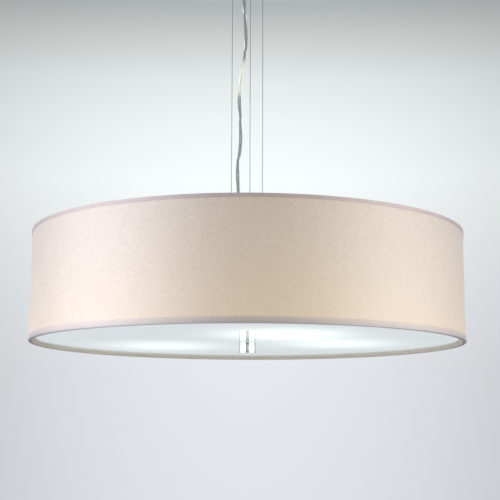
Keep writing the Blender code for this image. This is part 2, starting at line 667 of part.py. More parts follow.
def build_hub(guides):
    """A pressed cup with a lid, drilled for the rod, the lead and the three arms."""
    outer, inner = HUB_DIAMETER / 2, HUB_DIAMETER / 2 - HUB_WALL
    floor, inner_corner = HUB_BOTTOM + HUB_WALL, HUB_CORNER - HUB_WALL
    bend = (outer - HUB_CORNER, HUB_BOTTOM + HUB_CORNER)
    profile = [(0, floor), *arc(bend, inner_corner, -90, 0, 2), (inner, HUB_TOP), (outer, HUB_TOP)]
    profile += [*arc(bend, HUB_CORNER, 0, -90, 2), (0, HUB_BOTTOM)]
    cup = turned("hub_cup", profile, HUB_SIDES, WHITE_METAL)
    hole = bore_radius(ROD_DIAMETER / 2, MIDDLE_SIDES)
    drill(cup, "hub_rod_hole", (0, 0, HUB_BOTTOM), (0, 0, floor), hole, MIDDLE_SIDES)
    radius = bore_radius(ARM_DIAMETER / 2, SMALL_SIDES)
    for guide in guides:
        name, ends = guide.name + "_hub_hole", ((inner, 0, 0), (outer, 0, 0))
        drill(cup, name, *ends, radius, SMALL_SIDES, parent=guide)
    lip, bore = inner - GAP, bore_radius(ROD_DIAMETER / 2, HUB_SIDES)
    lip_inner, lip_foot = lip - HUB_WALL, COVER_BOTTOM - COVER_LIP
    profile = [(bore, COVER_TOP), (outer, COVER_TOP), (outer, COVER_BOTTOM), (lip, COVER_BOTTOM)]
    profile += [(lip, lip_foot), (lip_inner, lip_foot), (lip_inner, COVER_BOTTOM), (bore, COVER_BOTTOM)]
    cover = turned("hub_cover", profile, HUB_SIDES, WHITE_METAL)
    radius = bore_radius(CORD_DIAMETER / 2, SMALL_SIDES)
    start, end = (*CORD_FOOT, COVER_BOTTOM), (*CORD_FOOT, COVER_TOP)
    drill(cover, "cover_lead_hole", start, end, radius, SMALL_SIDES)


def arm_profile():
    """A threaded nipple with a collar that bears on the hub's wall."""
    outer, inner, collar = ARM_DIAMETER / 2, ARM_BORE_DIAMETER / 2, ARM_COLLAR_DIAMETER / 2
    wall = HUB_DIAMETER / 2 + GAP
    front, rear = HOLDER_REAR + ARM_INTO_HOLDER, HUB_DIAMETER / 2 - HUB_WALL - ARM_INTO_HUB
    profile = [(inner, front), (outer, front), (outer, wall + ARM_COLLAR_LENGTH)]
    profile += [(collar, wall + ARM_COLLAR_LENGTH), (collar, wall), (outer, wall)]
    return profile + [(outer, rear), (inner, rear)]


def holder_cap_profile():
    """The rear of a lampholder: a domed cap with a blind entry for the arm."""
    outer, rear = HOLDER_DIAMETER / 2 - HOLDER_STEP, HOLDER_CAP_REAR_DIAMETER / 2
    front = HOLDER_REAR + HOLDER_CAP_LENGTH
    bore = bore_radius(ARM_DIAMETER / 2, MIDDLE_SIDES)
    entry = HOLDER_REAR + ARM_INTO_HOLDER + GAP
    shoulder, rise = front - HOLDER_CAP_STRAIGHT, HOLDER_CAP_LENGTH - HOLDER_CAP_STRAIGHT
    dome = []
    for share in (0, 1 / 3, 2 / 3, 1):
        angle = share * pi / 2
        dome.append((rear + (outer - rear) * cos(angle), shoulder - rise * sin(angle)))
    return [(0, front), (outer, front), *dome, (bore, HOLDER_REAR), (bore, entry), (0, entry)]


def holder_skirt_profile():
    """The front of a lampholder: a skirt with a raised rim and the socket's bore."""
    outer, rim = HOLDER_DIAMETER / 2 - HOLDER_STEP, HOLDER_DIAMETER / 2
    bore = bore_radius(BULB_CAP_DIAMETER / 2, MIDDLE_SIDES)
    floor = BULB_CAP_REAR - GAP
    profile = [(0, floor), (bore, floor), (bore, HOLDER_MOUTH), (rim, HOLDER_MOUTH)]
    profile += [(rim, HOLDER_MOUTH - HOLDER_RIM), (outer, HOLDER_MOUTH - HOLDER_RIM - HOLDER_STEP)]
    return profile + [(outer, SKIRT_REAR), (0, SKIRT_REAR)]


def bulb_wall_profile(inset):
    """One face of the envelope, from its tip: a round head, a wide blend and the neck."""
    head, neck = BULB_DIAMETER / 2, BULB_NECK_DIAMETER / 2
    level = neck + BULB_BLEND_RADIUS
    run = sqrt((head + BULB_BLEND_RADIUS) ** 2 - level ** 2)
    turn = degrees(acos(run / (head + BULB_BLEND_RADIUS)))
    blend_start = BULB_CAP_FRONT + BULB_NECK_LENGTH
    centre = blend_start + run
    ball = arc((0, centre), head - inset, 90, turn - 90, 6)
    blend = arc((level, blend_start), BULB_BLEND_RADIUS + inset, 90 + turn, 180, 2)
    foot = (neck - inset, BULB_CAP_FRONT - BULB_SEAT + GAP)
    return [(0, centre + head - inset), *ball[1:], *blend[1:], foot]


def bulb_glass_profile():
    """A thin envelope, open at its neck."""
    return bulb_wall_profile(0) + bulb_wall_profile(BULB_WALL)[::-1]


def bulb_cap_profile():
    """A hollow screw shell with a shoulder for the glass, an insulated foot and a contact."""
    outer, contact = BULB_CAP_DIAMETER / 2, BULB_CONTACT_DIAMETER / 2
    seat, hollow = bore_radius(BULB_NECK_DIAMETER / 2, BULB_SIDES), outer - BULB_CAP_WALL
    shoulder, foot = BULB_CAP_FRONT - BULB_SEAT, BULB_CAP_FRONT - BULB_CAP_THREAD
    step = (foot + BULB_CAP_REAR) / 2
    profile = [(0, foot), (hollow, foot), (hollow, shoulder), (seat, shoulder)]
    profile += [(seat, BULB_CAP_FRONT), (outer, BULB_CAP_FRONT), (outer, foot)]
    return profile + [(contact, step), (contact, BULB_CAP_REAR), (0, BULB_CAP_REAR)]


def build_lamps(guides):
    """Three arms with their lampholders and bulbs, each turned about its lamp's axis."""
    pieces = (
        ("lamp_arm", arm_profile(), MIDDLE_SIDES, NICKEL),
        ("lampholder_cap", holder_cap_profile(), MIDDLE_SIDES, WHITE_PLASTIC),
        ("lampholder", holder_skirt_profile(), MIDDLE_SIDES, WHITE_PLASTIC),
        ("bulb_cap", bulb_cap_profile(), BULB_SIDES, BRASS),
        ("bulb_glass", bulb_glass_profile(), BULB_SIDES, OPAL_GLASS),
    )
    for number, guide in enumerate(guides, 1):
        for name, profile, sides, finish in pieces:
            turned(f"{name}_{number}", profile, sides, finish, parent=guide, tilt=pi / 2)


def ring_mesh(name, level):
    """A wire ring, from the torus primitive."""
    bpy.ops.mesh.primitive_torus_add(
        major_radius=RING_RADIUS,
        minor_radius=RING_WIRE_DIAMETER / 2,
        major_segments=SHADE_SIDES,
        minor_segments=RING_WIRE_SIDES,
        location=(0, 0, level),
    )
    made = bpy.context.object
    mesh = made.data
    mesh.name = name
    mesh.transform(made.matrix_world)
    bpy.data.objects.remove(made)
    return mesh


def build_spider():
    """The top ring, with spokes welded to it and to the eye that sits on the rod."""
    spider = add_part("shade_spider", ring_mesh("shade_spider", SPIDER_LEVEL), WHITE_METAL)
    inner, outer = EYE_DIAMETER / 2 - SPOKE_DIAMETER / 2, RING_RADIUS
    for number, turn in lamp_turns():
        name, length = f"spoke_{number}", outer - inner
        mesh = cylinder_mesh(name, SPOKE_DIAMETER / 2, length, SPOKE_SIDES)
        middle = (inner + outer) / 2
        spoke = add_cutter(name, mesh, (middle * cos(turn), middle * sin(turn), SPIDER_LEVEL))
        spoke.rotation_euler = (0, pi / 2, turn)
        boolean(spider, spoke, "UNION")
    # the eye is a little thicker than the spokes, so that no faces lie in one plane
    mesh = cylinder_mesh("spider_eye", EYE_DIAMETER / 2, EYE_THICKNESS, HUB_SIDES)
    boolean(spider, add_cutter("spider_eye", mesh, (0, 0, SPIDER_LEVEL)), "UNION")
    hole = bore_radius(ROD_DIAMETER / 2, MIDDLE_SIDES)
    top, bottom = SPIDER_LEVEL + EYE_THICKNESS / 2, SPIDER_LEVEL - EYE_THICKNESS / 2
    drill(spider, "spider_rod_hole", (0, 0, bottom), (0, 0, top), hole, MIDDLE_SIDES)


def shell_profile(outer, thickness, top, bottom):
    inner = outer - thickness
    return [(outer, top), (outer, bottom), (inner, bottom), (inner, top)]


def hem_profile(edge, way, outside_height):
    """A tape folded over an edge of the drum: way is 1 at the top edge, -1 at the bottom."""
    outer_leg, inner_leg = HEM_OUTER - HEM_THICKNESS, HEM_INNER + HEM_THICKNESS
    outside, inside = edge - way * outside_height, edge - way * HEM_INSIDE
    fold = edge - way * HEM_THICKNESS
    profile = [(HEM_OUTER, edge), (HEM_OUTER, outside), (outer_leg, outside), (outer_leg, fold)]
    profile += [(inner_leg, fold), (inner_leg, inside), (HEM_INNER, inside), (HEM_INNER, edge)]
    return profile if way > 0 else profile[::-1]


def build_shade():
    """Liner and fabric between the two ring frames, with a folded hem at each edge."""
    top, bottom = RING_TOP, SHADE_BOTTOM + HEM_THICKNESS + GAP
    profile = shell_profile(FABRIC_OUTER, FABRIC_THICKNESS, top, bottom)
    turned("shade_fabric", profile, SHADE_SIDES, FABRIC)
    profile = shell_profile(LINER_OUTER, LINER_THICKNESS, top, bottom)
    turned("shade_liner", profile, SHADE_SIDES, LINER)
    add_part("bottom_ring", ring_mesh("bottom_ring", BOTTOM_RING_LEVEL), WHITE_METAL)
    turned("bottom_hem", hem_profile(SHADE_BOTTOM, -1, BOTTOM_HEM_OUTSIDE), SHADE_SIDES, HEM)
    hem = turned("top_hem", hem_profile(SHADE_TOP, 1, TOP_HEM_OUTSIDE), SHADE_SIDES, HEM)
    # the inner leg of the top hem is notched up into its fold where the spokes pass it
    width = SPOKE_DIAMETER + 2 * NOTCH_CLEARANCE
    notch_top = SHADE_TOP - HEM_THICKNESS * 3 / 4
    notch_bottom = SHADE_TOP - HEM_INSIDE - OVERRUN
    size = (2 * OVERRUN, width, notch_top - notch_bottom)
    level = (notch_top + notch_bottom) / 2
    for number, turn in lamp_turns():
        name = f"hem_notch_{number}"
        mesh = rounded_box_mesh(name, size, HEM_THICKNESS / 2, 1)
        middle = HEM_INNER + HEM_THICKNESS / 2
        notch = add_cutter(name, mesh, (middle * cos(turn), middle * sin(turn), level))
        notch.rotation_euler = (0, 0, turn)
        boolean(hem, notch)


def build_glass():
    """The frosted disc with a rubber washer on each side of its middle hole."""
    hole = bore_radius(ROD_DIAMETER / 2, MIDDLE_SIDES) + GAP
    edge = GLASS_RADIUS - GLASS_CHAMFER
    profile = [(hole, GLASS_TOP), (edge, GLASS_TOP), (GLASS_RADIUS, GLASS_TOP - GLASS_CHAMFER)]
    profile += [(GLASS_RADIUS, GLASS_BOTTOM + GLASS_CHAMFER), (edge, GLASS_BOTTOM), (hole, GLASS_BOTTOM)]
    turned("diffuser_glass", profile, SHADE_SIDES, FROSTED_GLASS)
    bore = bore_radius(ROD_DIAMETER / 2, MIDDLE_SIDES)
    top = UPPER_WASHER_TOP
    profile = shell_profile(UPPER_WASHER_DIAMETER / 2, UPPER_WASHER_DIAMETER / 2 - bore, top, GLASS_TOP + GAP)
    turned("glass_washer_upper", profile, MIDDLE_SIDES, RUBBER)
    top, bottom = LOWER_WASHER_TOP, LOWER_WASHER_BOTTOM
    profile = shell_profile(LOWER_WASHER_DIAMETER / 2, LOWER_WASHER_DIAMETER / 2 - bore, top, bottom)
    turned("glass_washer_lower", profile, MIDDLE_SIDES, RUBBER)


def build_finial():
    """Polished collar and cap on the end of the rod: the collar's recess takes the washer."""
    radius, chamfer = FINIAL_DIAMETER / 2, FINIAL_CHAMFER
    bore = bore_radius(ROD_DIAMETER / 2, FINIAL_SIDES)
    seat, seat_radius = LOWER_WASHER_BOTTOM - GAP, bore_radius(LOWER_WASHER_DIAMETER / 2, FINIAL_SIDES)
    collar = [(bore, seat), (seat_radius, seat), (seat_radius, COLLAR_TOP)]
    collar += [(radius - chamfer, COLLAR_TOP), (radius, COLLAR_TOP - chamfer)]
    collar += [(radius, COLLAR_BOTTOM + chamfer), (radius - chamfer, COLLAR_BOTTOM)]
    collar += [(bore, COLLAR_BOTTOM)]
    turned("finial_collar", collar, FINIAL_SIDES, CHROME)
    floor = ROD_BOTTOM - CAP_BORE_CLEARANCE
    cap = [(0, floor), (bore, floor), (bore, CAP_TOP), (radius - chamfer, CAP_TOP)]
    cap += [(radius, CAP_TOP - chamfer), (radius, CAP_BOTTOM + chamfer)]
    cap += [(radius - chamfer, CAP_BOTTOM), (0, CAP_BOTTOM)]
    turned("finial_cap", cap, FINIAL_SIDES, CHROME)


clear_scene()
LIGHT = new_collection("drum_pendant_light")
CUTTERS = new_collection("drum_pendant_light_cutters")
lamp_guides = [add_guide(f"lamp_{i}", (0, 0, LAMP_LEVEL), turn) for i, turn in lamp_turns()]
build_bracket()
build_canopy()
build_canopy_screws()
terminal_bottom = build_terminal_block()
build_gland("canopy_gland", CANOPY_BOTTOM, CORD_TOP, CANOPY_WALL, False, CLEAR_PLASTIC)
build_grippers()
build_wires()
build_cords(terminal_bottom)
build_plate()
build_gland("plate_gland", PLATE_TOP, CORD_FOOT, PLATE_THICKNESS, True, CLEAR_PLASTIC)
build_rod()
build_hub(lamp_guides)
build_lamps(lamp_guides)
build_spider()
build_shade()
build_glass()
build_finial()

solid_parts = [part for part in LIGHT.objects if part.type == "MESH"]
settled = [settle(part) for part in solid_parts]
for part, mesh in zip(solid_parts, settled):
    part.modifiers.clear()
    part.data = mesh
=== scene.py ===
"""A drum pendant light: its fine shapes, its finishes and the picture of it.

Lengths are in metres and +Z is up. The origin is on the ceiling, over the middle of the light.
"""

from math import acos, atan2, cos, degrees, pi, radians, sin

import bpy
from mathutils import Matrix, Vector


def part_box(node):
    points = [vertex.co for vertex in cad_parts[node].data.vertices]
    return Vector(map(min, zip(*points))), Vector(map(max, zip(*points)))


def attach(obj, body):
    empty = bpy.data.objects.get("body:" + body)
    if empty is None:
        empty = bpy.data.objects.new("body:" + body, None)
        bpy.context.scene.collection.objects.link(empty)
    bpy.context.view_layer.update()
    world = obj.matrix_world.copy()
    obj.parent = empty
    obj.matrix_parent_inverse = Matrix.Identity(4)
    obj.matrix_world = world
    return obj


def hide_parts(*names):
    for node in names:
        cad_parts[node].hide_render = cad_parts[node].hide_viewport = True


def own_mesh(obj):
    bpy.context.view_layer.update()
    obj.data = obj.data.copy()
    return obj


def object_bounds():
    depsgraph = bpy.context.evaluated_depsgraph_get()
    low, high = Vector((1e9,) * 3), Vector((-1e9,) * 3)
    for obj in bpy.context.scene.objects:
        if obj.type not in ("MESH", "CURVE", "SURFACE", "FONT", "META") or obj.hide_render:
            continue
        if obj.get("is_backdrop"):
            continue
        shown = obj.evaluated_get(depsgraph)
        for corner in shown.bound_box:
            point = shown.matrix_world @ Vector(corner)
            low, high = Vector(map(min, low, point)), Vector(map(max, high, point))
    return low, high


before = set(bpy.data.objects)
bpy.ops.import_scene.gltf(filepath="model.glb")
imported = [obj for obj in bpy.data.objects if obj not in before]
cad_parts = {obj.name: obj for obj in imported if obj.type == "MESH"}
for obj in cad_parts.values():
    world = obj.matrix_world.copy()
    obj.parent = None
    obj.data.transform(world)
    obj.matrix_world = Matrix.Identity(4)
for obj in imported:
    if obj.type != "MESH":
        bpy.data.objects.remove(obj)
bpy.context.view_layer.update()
scene = bpy.context.scene

# The camera
# It stands 1.5 m in front of the light and a little below it, and looks up at it through a
# lens of about twice the normal length.
camera_place = (0, -1.534, -0.707)
camera_pitch, camera_yaw, camera_roll = radians(9.66), 0.0021, 0.0032
camera_data = bpy.data.cameras.new("camera")
camera_data.lens, camera_data.sensor_width = 79.2, 36
camera = bpy.data.objects.new("camera", camera_data)
look = Matrix.Rotation(-camera_yaw, 3, "Z") @ Matrix.Rotation(pi / 2 + camera_pitch, 3, "X")
look = look @ Matrix.Rotation(camera_roll, 3, "Z")
camera.rotation_euler = look.to_euler()
camera.location = camera_place
scene.collection.objects.link(camera)
scene.camera = camera
scene.view_settings.view_transform = "Standard"


# The studio
# A pale grey floor far below, and a pale wall that is brightest behind the shade and darker
# above it. Two softboxes stand close in front, left and right of the lens, with a wide dim
# panel behind each, and two more lights stand high at the back.
def add_node(tree, kind, inputs=None, **settings):
    """A node with its settings, and with its inputs set or linked, by name or number."""
    node = tree.nodes.new(kind)
    for name, value in settings.items():
        setattr(node, name, value)
    for socket, value in (inputs or {}).items():
        if isinstance(value, bpy.types.NodeSocket):
            tree.links.new(value, node.inputs[socket])
        else:
            node.inputs[socket].default_value = value
    return node


def maths(tree, operation, *values, clamp=False):
    """The result of a Math node, its values being numbers or other nodes' outputs."""
    inputs = dict(enumerate(values))
    return add_node(tree, "ShaderNodeMath", inputs, operation=operation, use_clamp=clamp).outputs[0]


def add_ramp(tree, source, stops):
    """A colour ramp's colour, from stops of place and colour."""
    node = add_node(tree, "ShaderNodeValToRGB", {0: source})
    elements = node.color_ramp.elements
    while len(elements) < len(stops):
        elements.new(0.5)
    for element, (place, colour) in zip(elements, stops):
        element.position = place
        element.color = (*colour, 1)
    return node.outputs["Color"]


def add_softbox(name, place, target, width, height, radiance, colour):
    """A rectangular lamp that the camera doesn't see, as bright as a white wall at radiance 1."""
    data = bpy.data.lights.new(name, "AREA")
    data.shape = "RECTANGLE"
    data.size, data.size_y = width, height
    data.energy = radiance * pi * width * height
    data.color = colour
    lamp = bpy.data.objects.new(name, data)
    lamp.location = place
    lamp.rotation_euler = (Vector(target) - Vector(place)).to_track_quat("-Z", "Y").to_euler()
    lamp.visible_camera = False
    scene.collection.objects.link(lamp)
    return lamp


def room_strength(tree, direction, glossy):
    """The room's brightness that way: metal mirrors dark walls behind the lens and beside the backdrop."""
    level = add_node(tree, "ShaderNodeVectorMath", {0: direction, 1: (1.0, 1.0, 0.0)}, operation="MULTIPLY")
    heading = add_node(tree, "ShaderNodeVectorMath", {0: level.outputs[0]}, operation="NORMALIZE")
    forward = add_node(tree, "ShaderNodeSeparateXYZ", {0: heading.outputs[0]}).outputs["Y"]
    dark, dim, bright = (0.22, 0.22, 0.22), (0.50, 0.50, 0.50), (1, 1, 1)
    mirrored = add_ramp(tree, maths(tree, "MULTIPLY_ADD", forward, 0.5, 0.5), [
        (0.0, dark), (0.045, dark), (0.08, bright), (0.70, bright), (0.76, dim), (0.955, dim), (0.975, bright),
    ])
    return add_node(tree, "ShaderNodeMix", {0: glossy, 6: (1, 1, 1, 1), 7: mirrored}, data_type="RGBA").outputs[2]


world = bpy.data.worlds.new("studio")
scene.world = world
world.use_nodes = True
tree = world.node_tree
tree.nodes.clear()
direction = add_node(tree, "ShaderNodeTexCoord").outputs["Generated"]
heading = add_node(tree, "ShaderNodeSeparateXYZ", {0: direction}).outputs
horizon_share = 0.05
low_wall, bright_wall, high_wall = (0.755, 0.775, 0.815), (0.956, 1.000, 1.000), (0.440, 0.470, 0.470)
wall_colour = add_ramp(tree, maths(tree, "ADD", heading["Z"], horizon_share), [
    (0.00, low_wall),
    (0.11, (0.790, 0.807, 0.847)),
    (0.28, bright_wall),
    (0.332, (0.863, 0.930, 0.922)),
    (0.366, (0.776, 0.831, 0.823)),
    (0.400, (0.610, 0.637, 0.630)),
    (0.428, high_wall),
    (0.70, (0.620, 0.650, 0.650)),
])
sideways = maths(tree, "MULTIPLY", heading["X"], heading["X"])
falloff = add_ramp(tree, sideways, [(0.0, (1, 1, 1)), (0.048, (0.8, 0.8, 0.8)), (0.22, (1, 1, 1))])
rays = add_node(tree, "ShaderNodeLightPath").outputs
wall_strength = maths(tree, "MULTIPLY", falloff, room_strength(tree, direction, rays["Is Glossy Ray"]))
wall_light = add_node(tree, "ShaderNodeBackground", {"Color": wall_colour, "Strength": wall_strength})
room_light = add_node(tree, "ShaderNodeBackground", {"Color": (1.0, 1.0, 1.0, 1), "Strength": 0.18})
direct_or_glossy = maths(tree, "ADD", rays["Is Camera Ray"], rays["Is Glossy Ray"])
shown = maths(tree, "ADD", direct_or_glossy, rays["Is Transmission Ray"], clamp=True)
mixed = add_node(tree, "ShaderNodeMixShader", {0: shown, 1: room_light.outputs[0], 2: wall_light.outputs[0]})
add_node(tree, "ShaderNodeOutputWorld", {0: mixed.outputs[0]})

for name, side, turn, distance, width, height, radiance, colour in (
    ("softbox_left", -1, 36, 0.5, 0.23, 0.8, 2.28, (0.82, 0.90, 1.0)),
    ("softbox_right", 1, 36, 0.5, 0.25, 0.8, 1.50, (0.93, 0.99, 1.0)),
    ("panel_left", -1, 110, 0.7, 0.8, 1.0, 1.46, (0.62, 0.70, 0.86)),
    ("panel_right", 1, 110, 0.7, 0.8, 1.0, 1.08, (0.58, 0.64, 0.79)),
    ("strip_left", -1, 83, 0.8, 0.96, 0.12, 1.90, (0.95, 0.98, 1.0)),
    ("strip_right", 1, 79, 0.8, 0.90, 0.12, 1.90, (0.95, 0.98, 1.0)),
):
    height_there = -0.65 if name.startswith("strip") else -0.47
    place_there = (side * distance * sin(radians(turn)), -distance * cos(radians(turn)), height_there)
    lamp = add_softbox(name, place_there, (0, 0, height_there), width, height, radiance, colour)
    lamp.visible_glossy = not name.startswith("panel")
shade_middle = (0, 0, -0.505)
add_softbox("back_light_left", (-1.3, 1.3, 0.6), shade_middle, 1.2, 0.8, 1.2, (1.0, 1.0, 1.0))
add_softbox("back_light_right", (1.3, 1.3, 0.6), shade_middle, 1.2, 0.8, 1.2, (1.0, 1.0, 1.0))

floor_level, floor_radius = -3.0, 38
bpy.ops.object.select_all(action="DESELECT")
bpy.ops.mesh.primitive_circle_add(vertices=128, radius=floor_radius, fill_type="NGON", location=(0, 0, floor_level))
floor = bpy.context.object
floor.name = "studio_floor"
floor_paint = bpy.data.materials.new("studio_floor")
floor_paint.use_nodes = True
tree = floor_paint.node_tree
rays = add_node(tree, "ShaderNodeLightPath").outputs
direct_or_glossy = maths(tree, "ADD", rays["Is Camera Ray"], rays["Is Glossy Ray"])
shown = maths(tree, "ADD", direct_or_glossy, rays["Is Transmission Ray"], clamp=True)
from_light = add_node(tree, "ShaderNodeNewGeometry").outputs["Position"]
glow_strength = room_strength(tree, from_light, rays["Is Glossy Ray"])
glow = add_node(tree, "ShaderNodeEmission", {"Color": (*low_wall, 1), "Strength": glow_strength})
paint = tree.nodes["Principled BSDF"]
paint.inputs["Base Color"].default_value = (0.80, 0.81, 0.83, 1)
mixed = add_node(tree, "ShaderNodeMixShader", {0: shown, 1: paint.outputs[0], 2: glow.outputs[0]})
tree.links.new(mixed.outputs[0], tree.nodes["Material Output"].inputs["Surface"])
floor.data.materials.append(floor_paint)
floor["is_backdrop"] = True


# The power cord
# A round mains cord of clear plastic, in which two insulated cores with bright tinned strands
# show, twisted together. Over one stretch of its height the strands carry a painted highlight,
# paler and with a faint glow. It hangs a little slack beside the wires and is gripped at both ends.
def alone(piece):
    """Select one object and nothing else."""
    bpy.ops.object.select_all(action="DESELECT")
    piece.select_set(True)
    bpy.context.view_layer.objects.active = piece


def smooth_route(points, samples=12):
    """Points on a smooth curve through the given ones."""
    knots = [Vector(p) for p in points]
    knots = [2 * knots[0] - knots[1], *knots, 2 * knots[-1] - knots[-2]]
    route = []
    for a, b, c, d in zip(knots, knots[1:], knots[2:], knots[3:]):
        for i in range(samples):
            t = i / samples
            bend = (2 * a - 5 * b + 4 * c - d) * t * t + (3 * b - a - 3 * c + d) * t ** 3
            route.append((2 * b + (c - a) * t + bend) / 2)
    return [*route, knots[-2]]


def tube(name, route, diameter, rounding):
    """A round tube along a route, drawn as a curve and made a mesh with closed ends."""
    curve = bpy.data.curves.new(name, "CURVE")
    curve.dimensions = "3D"
    curve.bevel_depth = diameter / 2
    curve.bevel_resolution = rounding
    curve.use_fill_caps = True
    spline = curve.splines.new("POLY")
    spline.points.add(len(route) - 1)
    for spot, point in zip(spline.points, route):
        spot.co = (*point, 1)
    piece = bpy.data.objects.new(name, curve)
    scene.collection.objects.link(piece)
    alone(piece)
    bpy.ops.object.convert(target="MESH")
    piece = bpy.context.object
    bpy.ops.object.mode_set(mode="EDIT")
    bpy.ops.mesh.select_all(action="SELECT")
    bpy.ops.mesh.remove_doubles(threshold=0.000001)
    bpy.ops.mesh.normals_make_consistent(inside=False)
    bpy.ops.object.mode_set(mode="OBJECT")
    return piece


def helix_along(route, offset, pitch, phase):
    """A route that winds round another one at a distance."""
    wound, walked = [], 0
    for i, point in enumerate(route):
        ahead = route[min(i + 1, len(route) - 1)] - route[max(i - 1, 0)]
        side = ahead.cross(Vector((0, 1, 0))).normalized()
        front = side.cross(ahead).normalized()
        if i:
            walked += (point - route[i - 1]).length
        turn = 2 * pi * walked / pitch + phase
        wound.append(point + (side * cos(turn) + front * sin(turn)) * offset)
    return wound


def new_group(name, inputs, outputs):
    """A node group, with the sockets that its nodes read and write."""
    group = bpy.data.node_groups.new(name, "ShaderNodeTree")
    for title, kind, value in inputs:
        socket = group.interface.new_socket(title, in_out="INPUT", socket_type="NodeSocket" + kind)
        if value is not None:
            socket.default_value = value
    for title, kind in outputs:
        group.interface.new_socket(title, in_out="OUTPUT", socket_type="NodeSocket" + kind)
    return group, add_node(group, "NodeGroupInput").outputs, add_node(group, "NodeGroupOutput").inputs


def use_group(tree, group, **inputs):
    """Place a node group; its inputs are named with _ for each blank."""
    named = {title.replace("_", " "): value for title, value in inputs.items()}
    return add_node(tree, "ShaderNodeGroup", named, node_tree=group).outputs


def new_material(name, colour, roughness, metallic=0.0, **constants):
    """A material, with its tree and its Principled shader's inputs."""
    material = bpy.data.materials.new(name)
    material.use_nodes = True
    shader = material.node_tree.nodes["Principled BSDF"].inputs
    shader["Base Color"].default_value = (*colour, 1)
    shader["Roughness"].default_value = roughness
    shader["Metallic"].default_value = metallic
    for title, value in constants.items():
        shader[title.replace("_", " ")].default_value = value
    return material, material.node_tree, shader


def made_at(tree):
    """Where a point was when its piece was made, before the piece was put in its place."""
    return add_node(tree, "ShaderNodeAttribute", attribute_name="made_at").outputs["Vector"]


def note_shape(piece):
    """Keep the place of each point as the piece was made, for patterns that follow its axis."""
    if "made_at" not in piece.data.attributes:
        kept = piece.data.attributes.new("made_at", "FLOAT_VECTOR", "POINT")
        kept.data.foreach_set("vector", [n for spot in piece.data.vertices for n in spot.co])


def fit(piece, material, slot, body, *nodes, soft=40):
    """Shade and finish a piece, and put it on its body in the place of its nodes."""
    note_shape(piece)
    alone(piece)
    bpy.ops.object.shade_smooth_by_angle(angle=radians(soft))
    flat_faces = piece.modifiers.new("flat_faces", "WEIGHTED_NORMAL")
    flat_faces.keep_sharp = True
    bpy.ops.object.modifier_apply(modifier=flat_faces.name)
    piece.data.materials.clear()
    piece.data.materials.append(material)
    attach(piece, body)
    if nodes:
        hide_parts(*nodes)
    return piece


# marks of fingers and cloths, as a roughness that wanders round its middle value
handling, given, result = new_group(
    "handling_marks",
    [("Vector", "Vector", None), ("Scale", "Float", 40.0), ("Roughness", "Float", 0.3), ("Spread", "Float", 0.1)],
    [("Roughness", "Float"), ("Mask", "Float")],
)
smears = add_node(handling, "ShaderNodeTexNoise", {"Vector": given["Vector"], "Scale": given["Scale"], "Detail": 3.0})
wander = maths(handling, "MULTIPLY_ADD", smears.outputs["Fac"], given["Spread"], given["Roughness"])
half_spread = maths(handling, "MULTIPLY", given["Spread"], 0.5)
handling.links.new(maths(handling, "SUBTRACT", wander, half_spread), result["Roughness"])
handling.links.new(smears.outputs["Fac"], result["Mask"])

cord_diameter, core_diameter, core_offset, core_pitch = 0.005, 0.0018, 0.00105, 0.110
cord_route = [
    (-0.0070, 0.0000, -0.01235), (-0.0070, 0.0000, -0.0285),
    (-0.0070, 0.0000, -0.0640), (-0.0064, -0.0008, -0.0800), (-0.0054, -0.0016, -0.0980),
    (-0.0041, -0.0022, -0.1190), (-0.0035, -0.0026, -0.1360), (-0.0046, -0.0036, -0.1550),
    (-0.0074, -0.0052, -0.1750), (-0.0102, -0.0070, -0.1950), (-0.0123, -0.0086, -0.2140),
    (-0.0128, -0.0096, -0.2320), (-0.0120, -0.0100, -0.2500), (-0.0108, -0.0104, -0.2690),
    (-0.0107, -0.0112, -0.2870), (-0.0120, -0.0124, -0.3050), (-0.0142, -0.0138, -0.3240),
    (-0.0147, -0.0148, -0.3430), (-0.0140, -0.0157, -0.3620), (-0.0138, -0.0160, -0.3760),
    (-0.0138, -0.0160, -0.4104), (-0.0138, -0.0160, -0.42875),
]
cord_path = smooth_route(cord_route)

clear_plastic, tree, shader = new_material(
    "clear_plastic", (0.88, 0.90, 0.90), 0.10, Transmission_Weight=0.92, IOR=1.46
)
marks = use_group(tree, handling, Vector=made_at(tree), Scale=90.0, Roughness=0.12, Spread=0.10)
tree.links.new(marks["Roughness"], shader["Roughness"])
haze = add_ramp(tree, marks["Mask"], [(0.3, (0.84, 0.87, 0.86)), (0.7, (0.92, 0.94, 0.94))])
tree.links.new(haze, shader["Base Color"])

core_strands, tree, shader = new_material("core_strands", (0.55, 0.56, 0.56), 0.35, 0.6)
strand_angle = add_node(tree, "ShaderNodeMapping", {"Vector": made_at(tree), "Rotation": (0.5, 0.4, 0.0)})
strands = add_node(tree, "ShaderNodeTexWave", {
    "Vector": strand_angle.outputs[0], "Scale": 420.0, "Distortion": 1.5, "Detail": 1.0,
}, bands_direction="Z")
tone = add_ramp(tree, strands.outputs["Fac"], [(0.0, (0.44, 0.45, 0.44)), (1.0, (0.80, 0.80, 0.76))])
# painted highlight: around one height the strands are painted pale cream and given a faint glow, as if lit there
strand_height = add_node(tree, "ShaderNodeSeparateXYZ", {0: made_at(tree)}).outputs["Z"]
from_painted_highlight = maths(tree, "ABSOLUTE", maths(tree, "ADD", strand_height, 0.195))
painted_highlight_share = add_node(tree, "ShaderNodeMapRange", {
    "Value": from_painted_highlight, "From Min": 0.022, "From Max": 0.032, "To Min": 1.0, "To Max": 0.0,
}).outputs[0]
painted_highlight_colour = add_ramp(tree, strands.outputs["Fac"], [(0.0, (0.86, 0.84, 0.76)), (1.0, (1.0, 0.98, 0.90))])
tree.links.new(painted_highlight_colour, add_node(tree, "ShaderNodeMix", {0: painted_highlight_share, 6: tone}, data_type="RGBA").inputs[7])
painted_light_mix = tree.nodes[-1]
tree.links.new(painted_light_mix.outputs[2], shader["Base Color"])
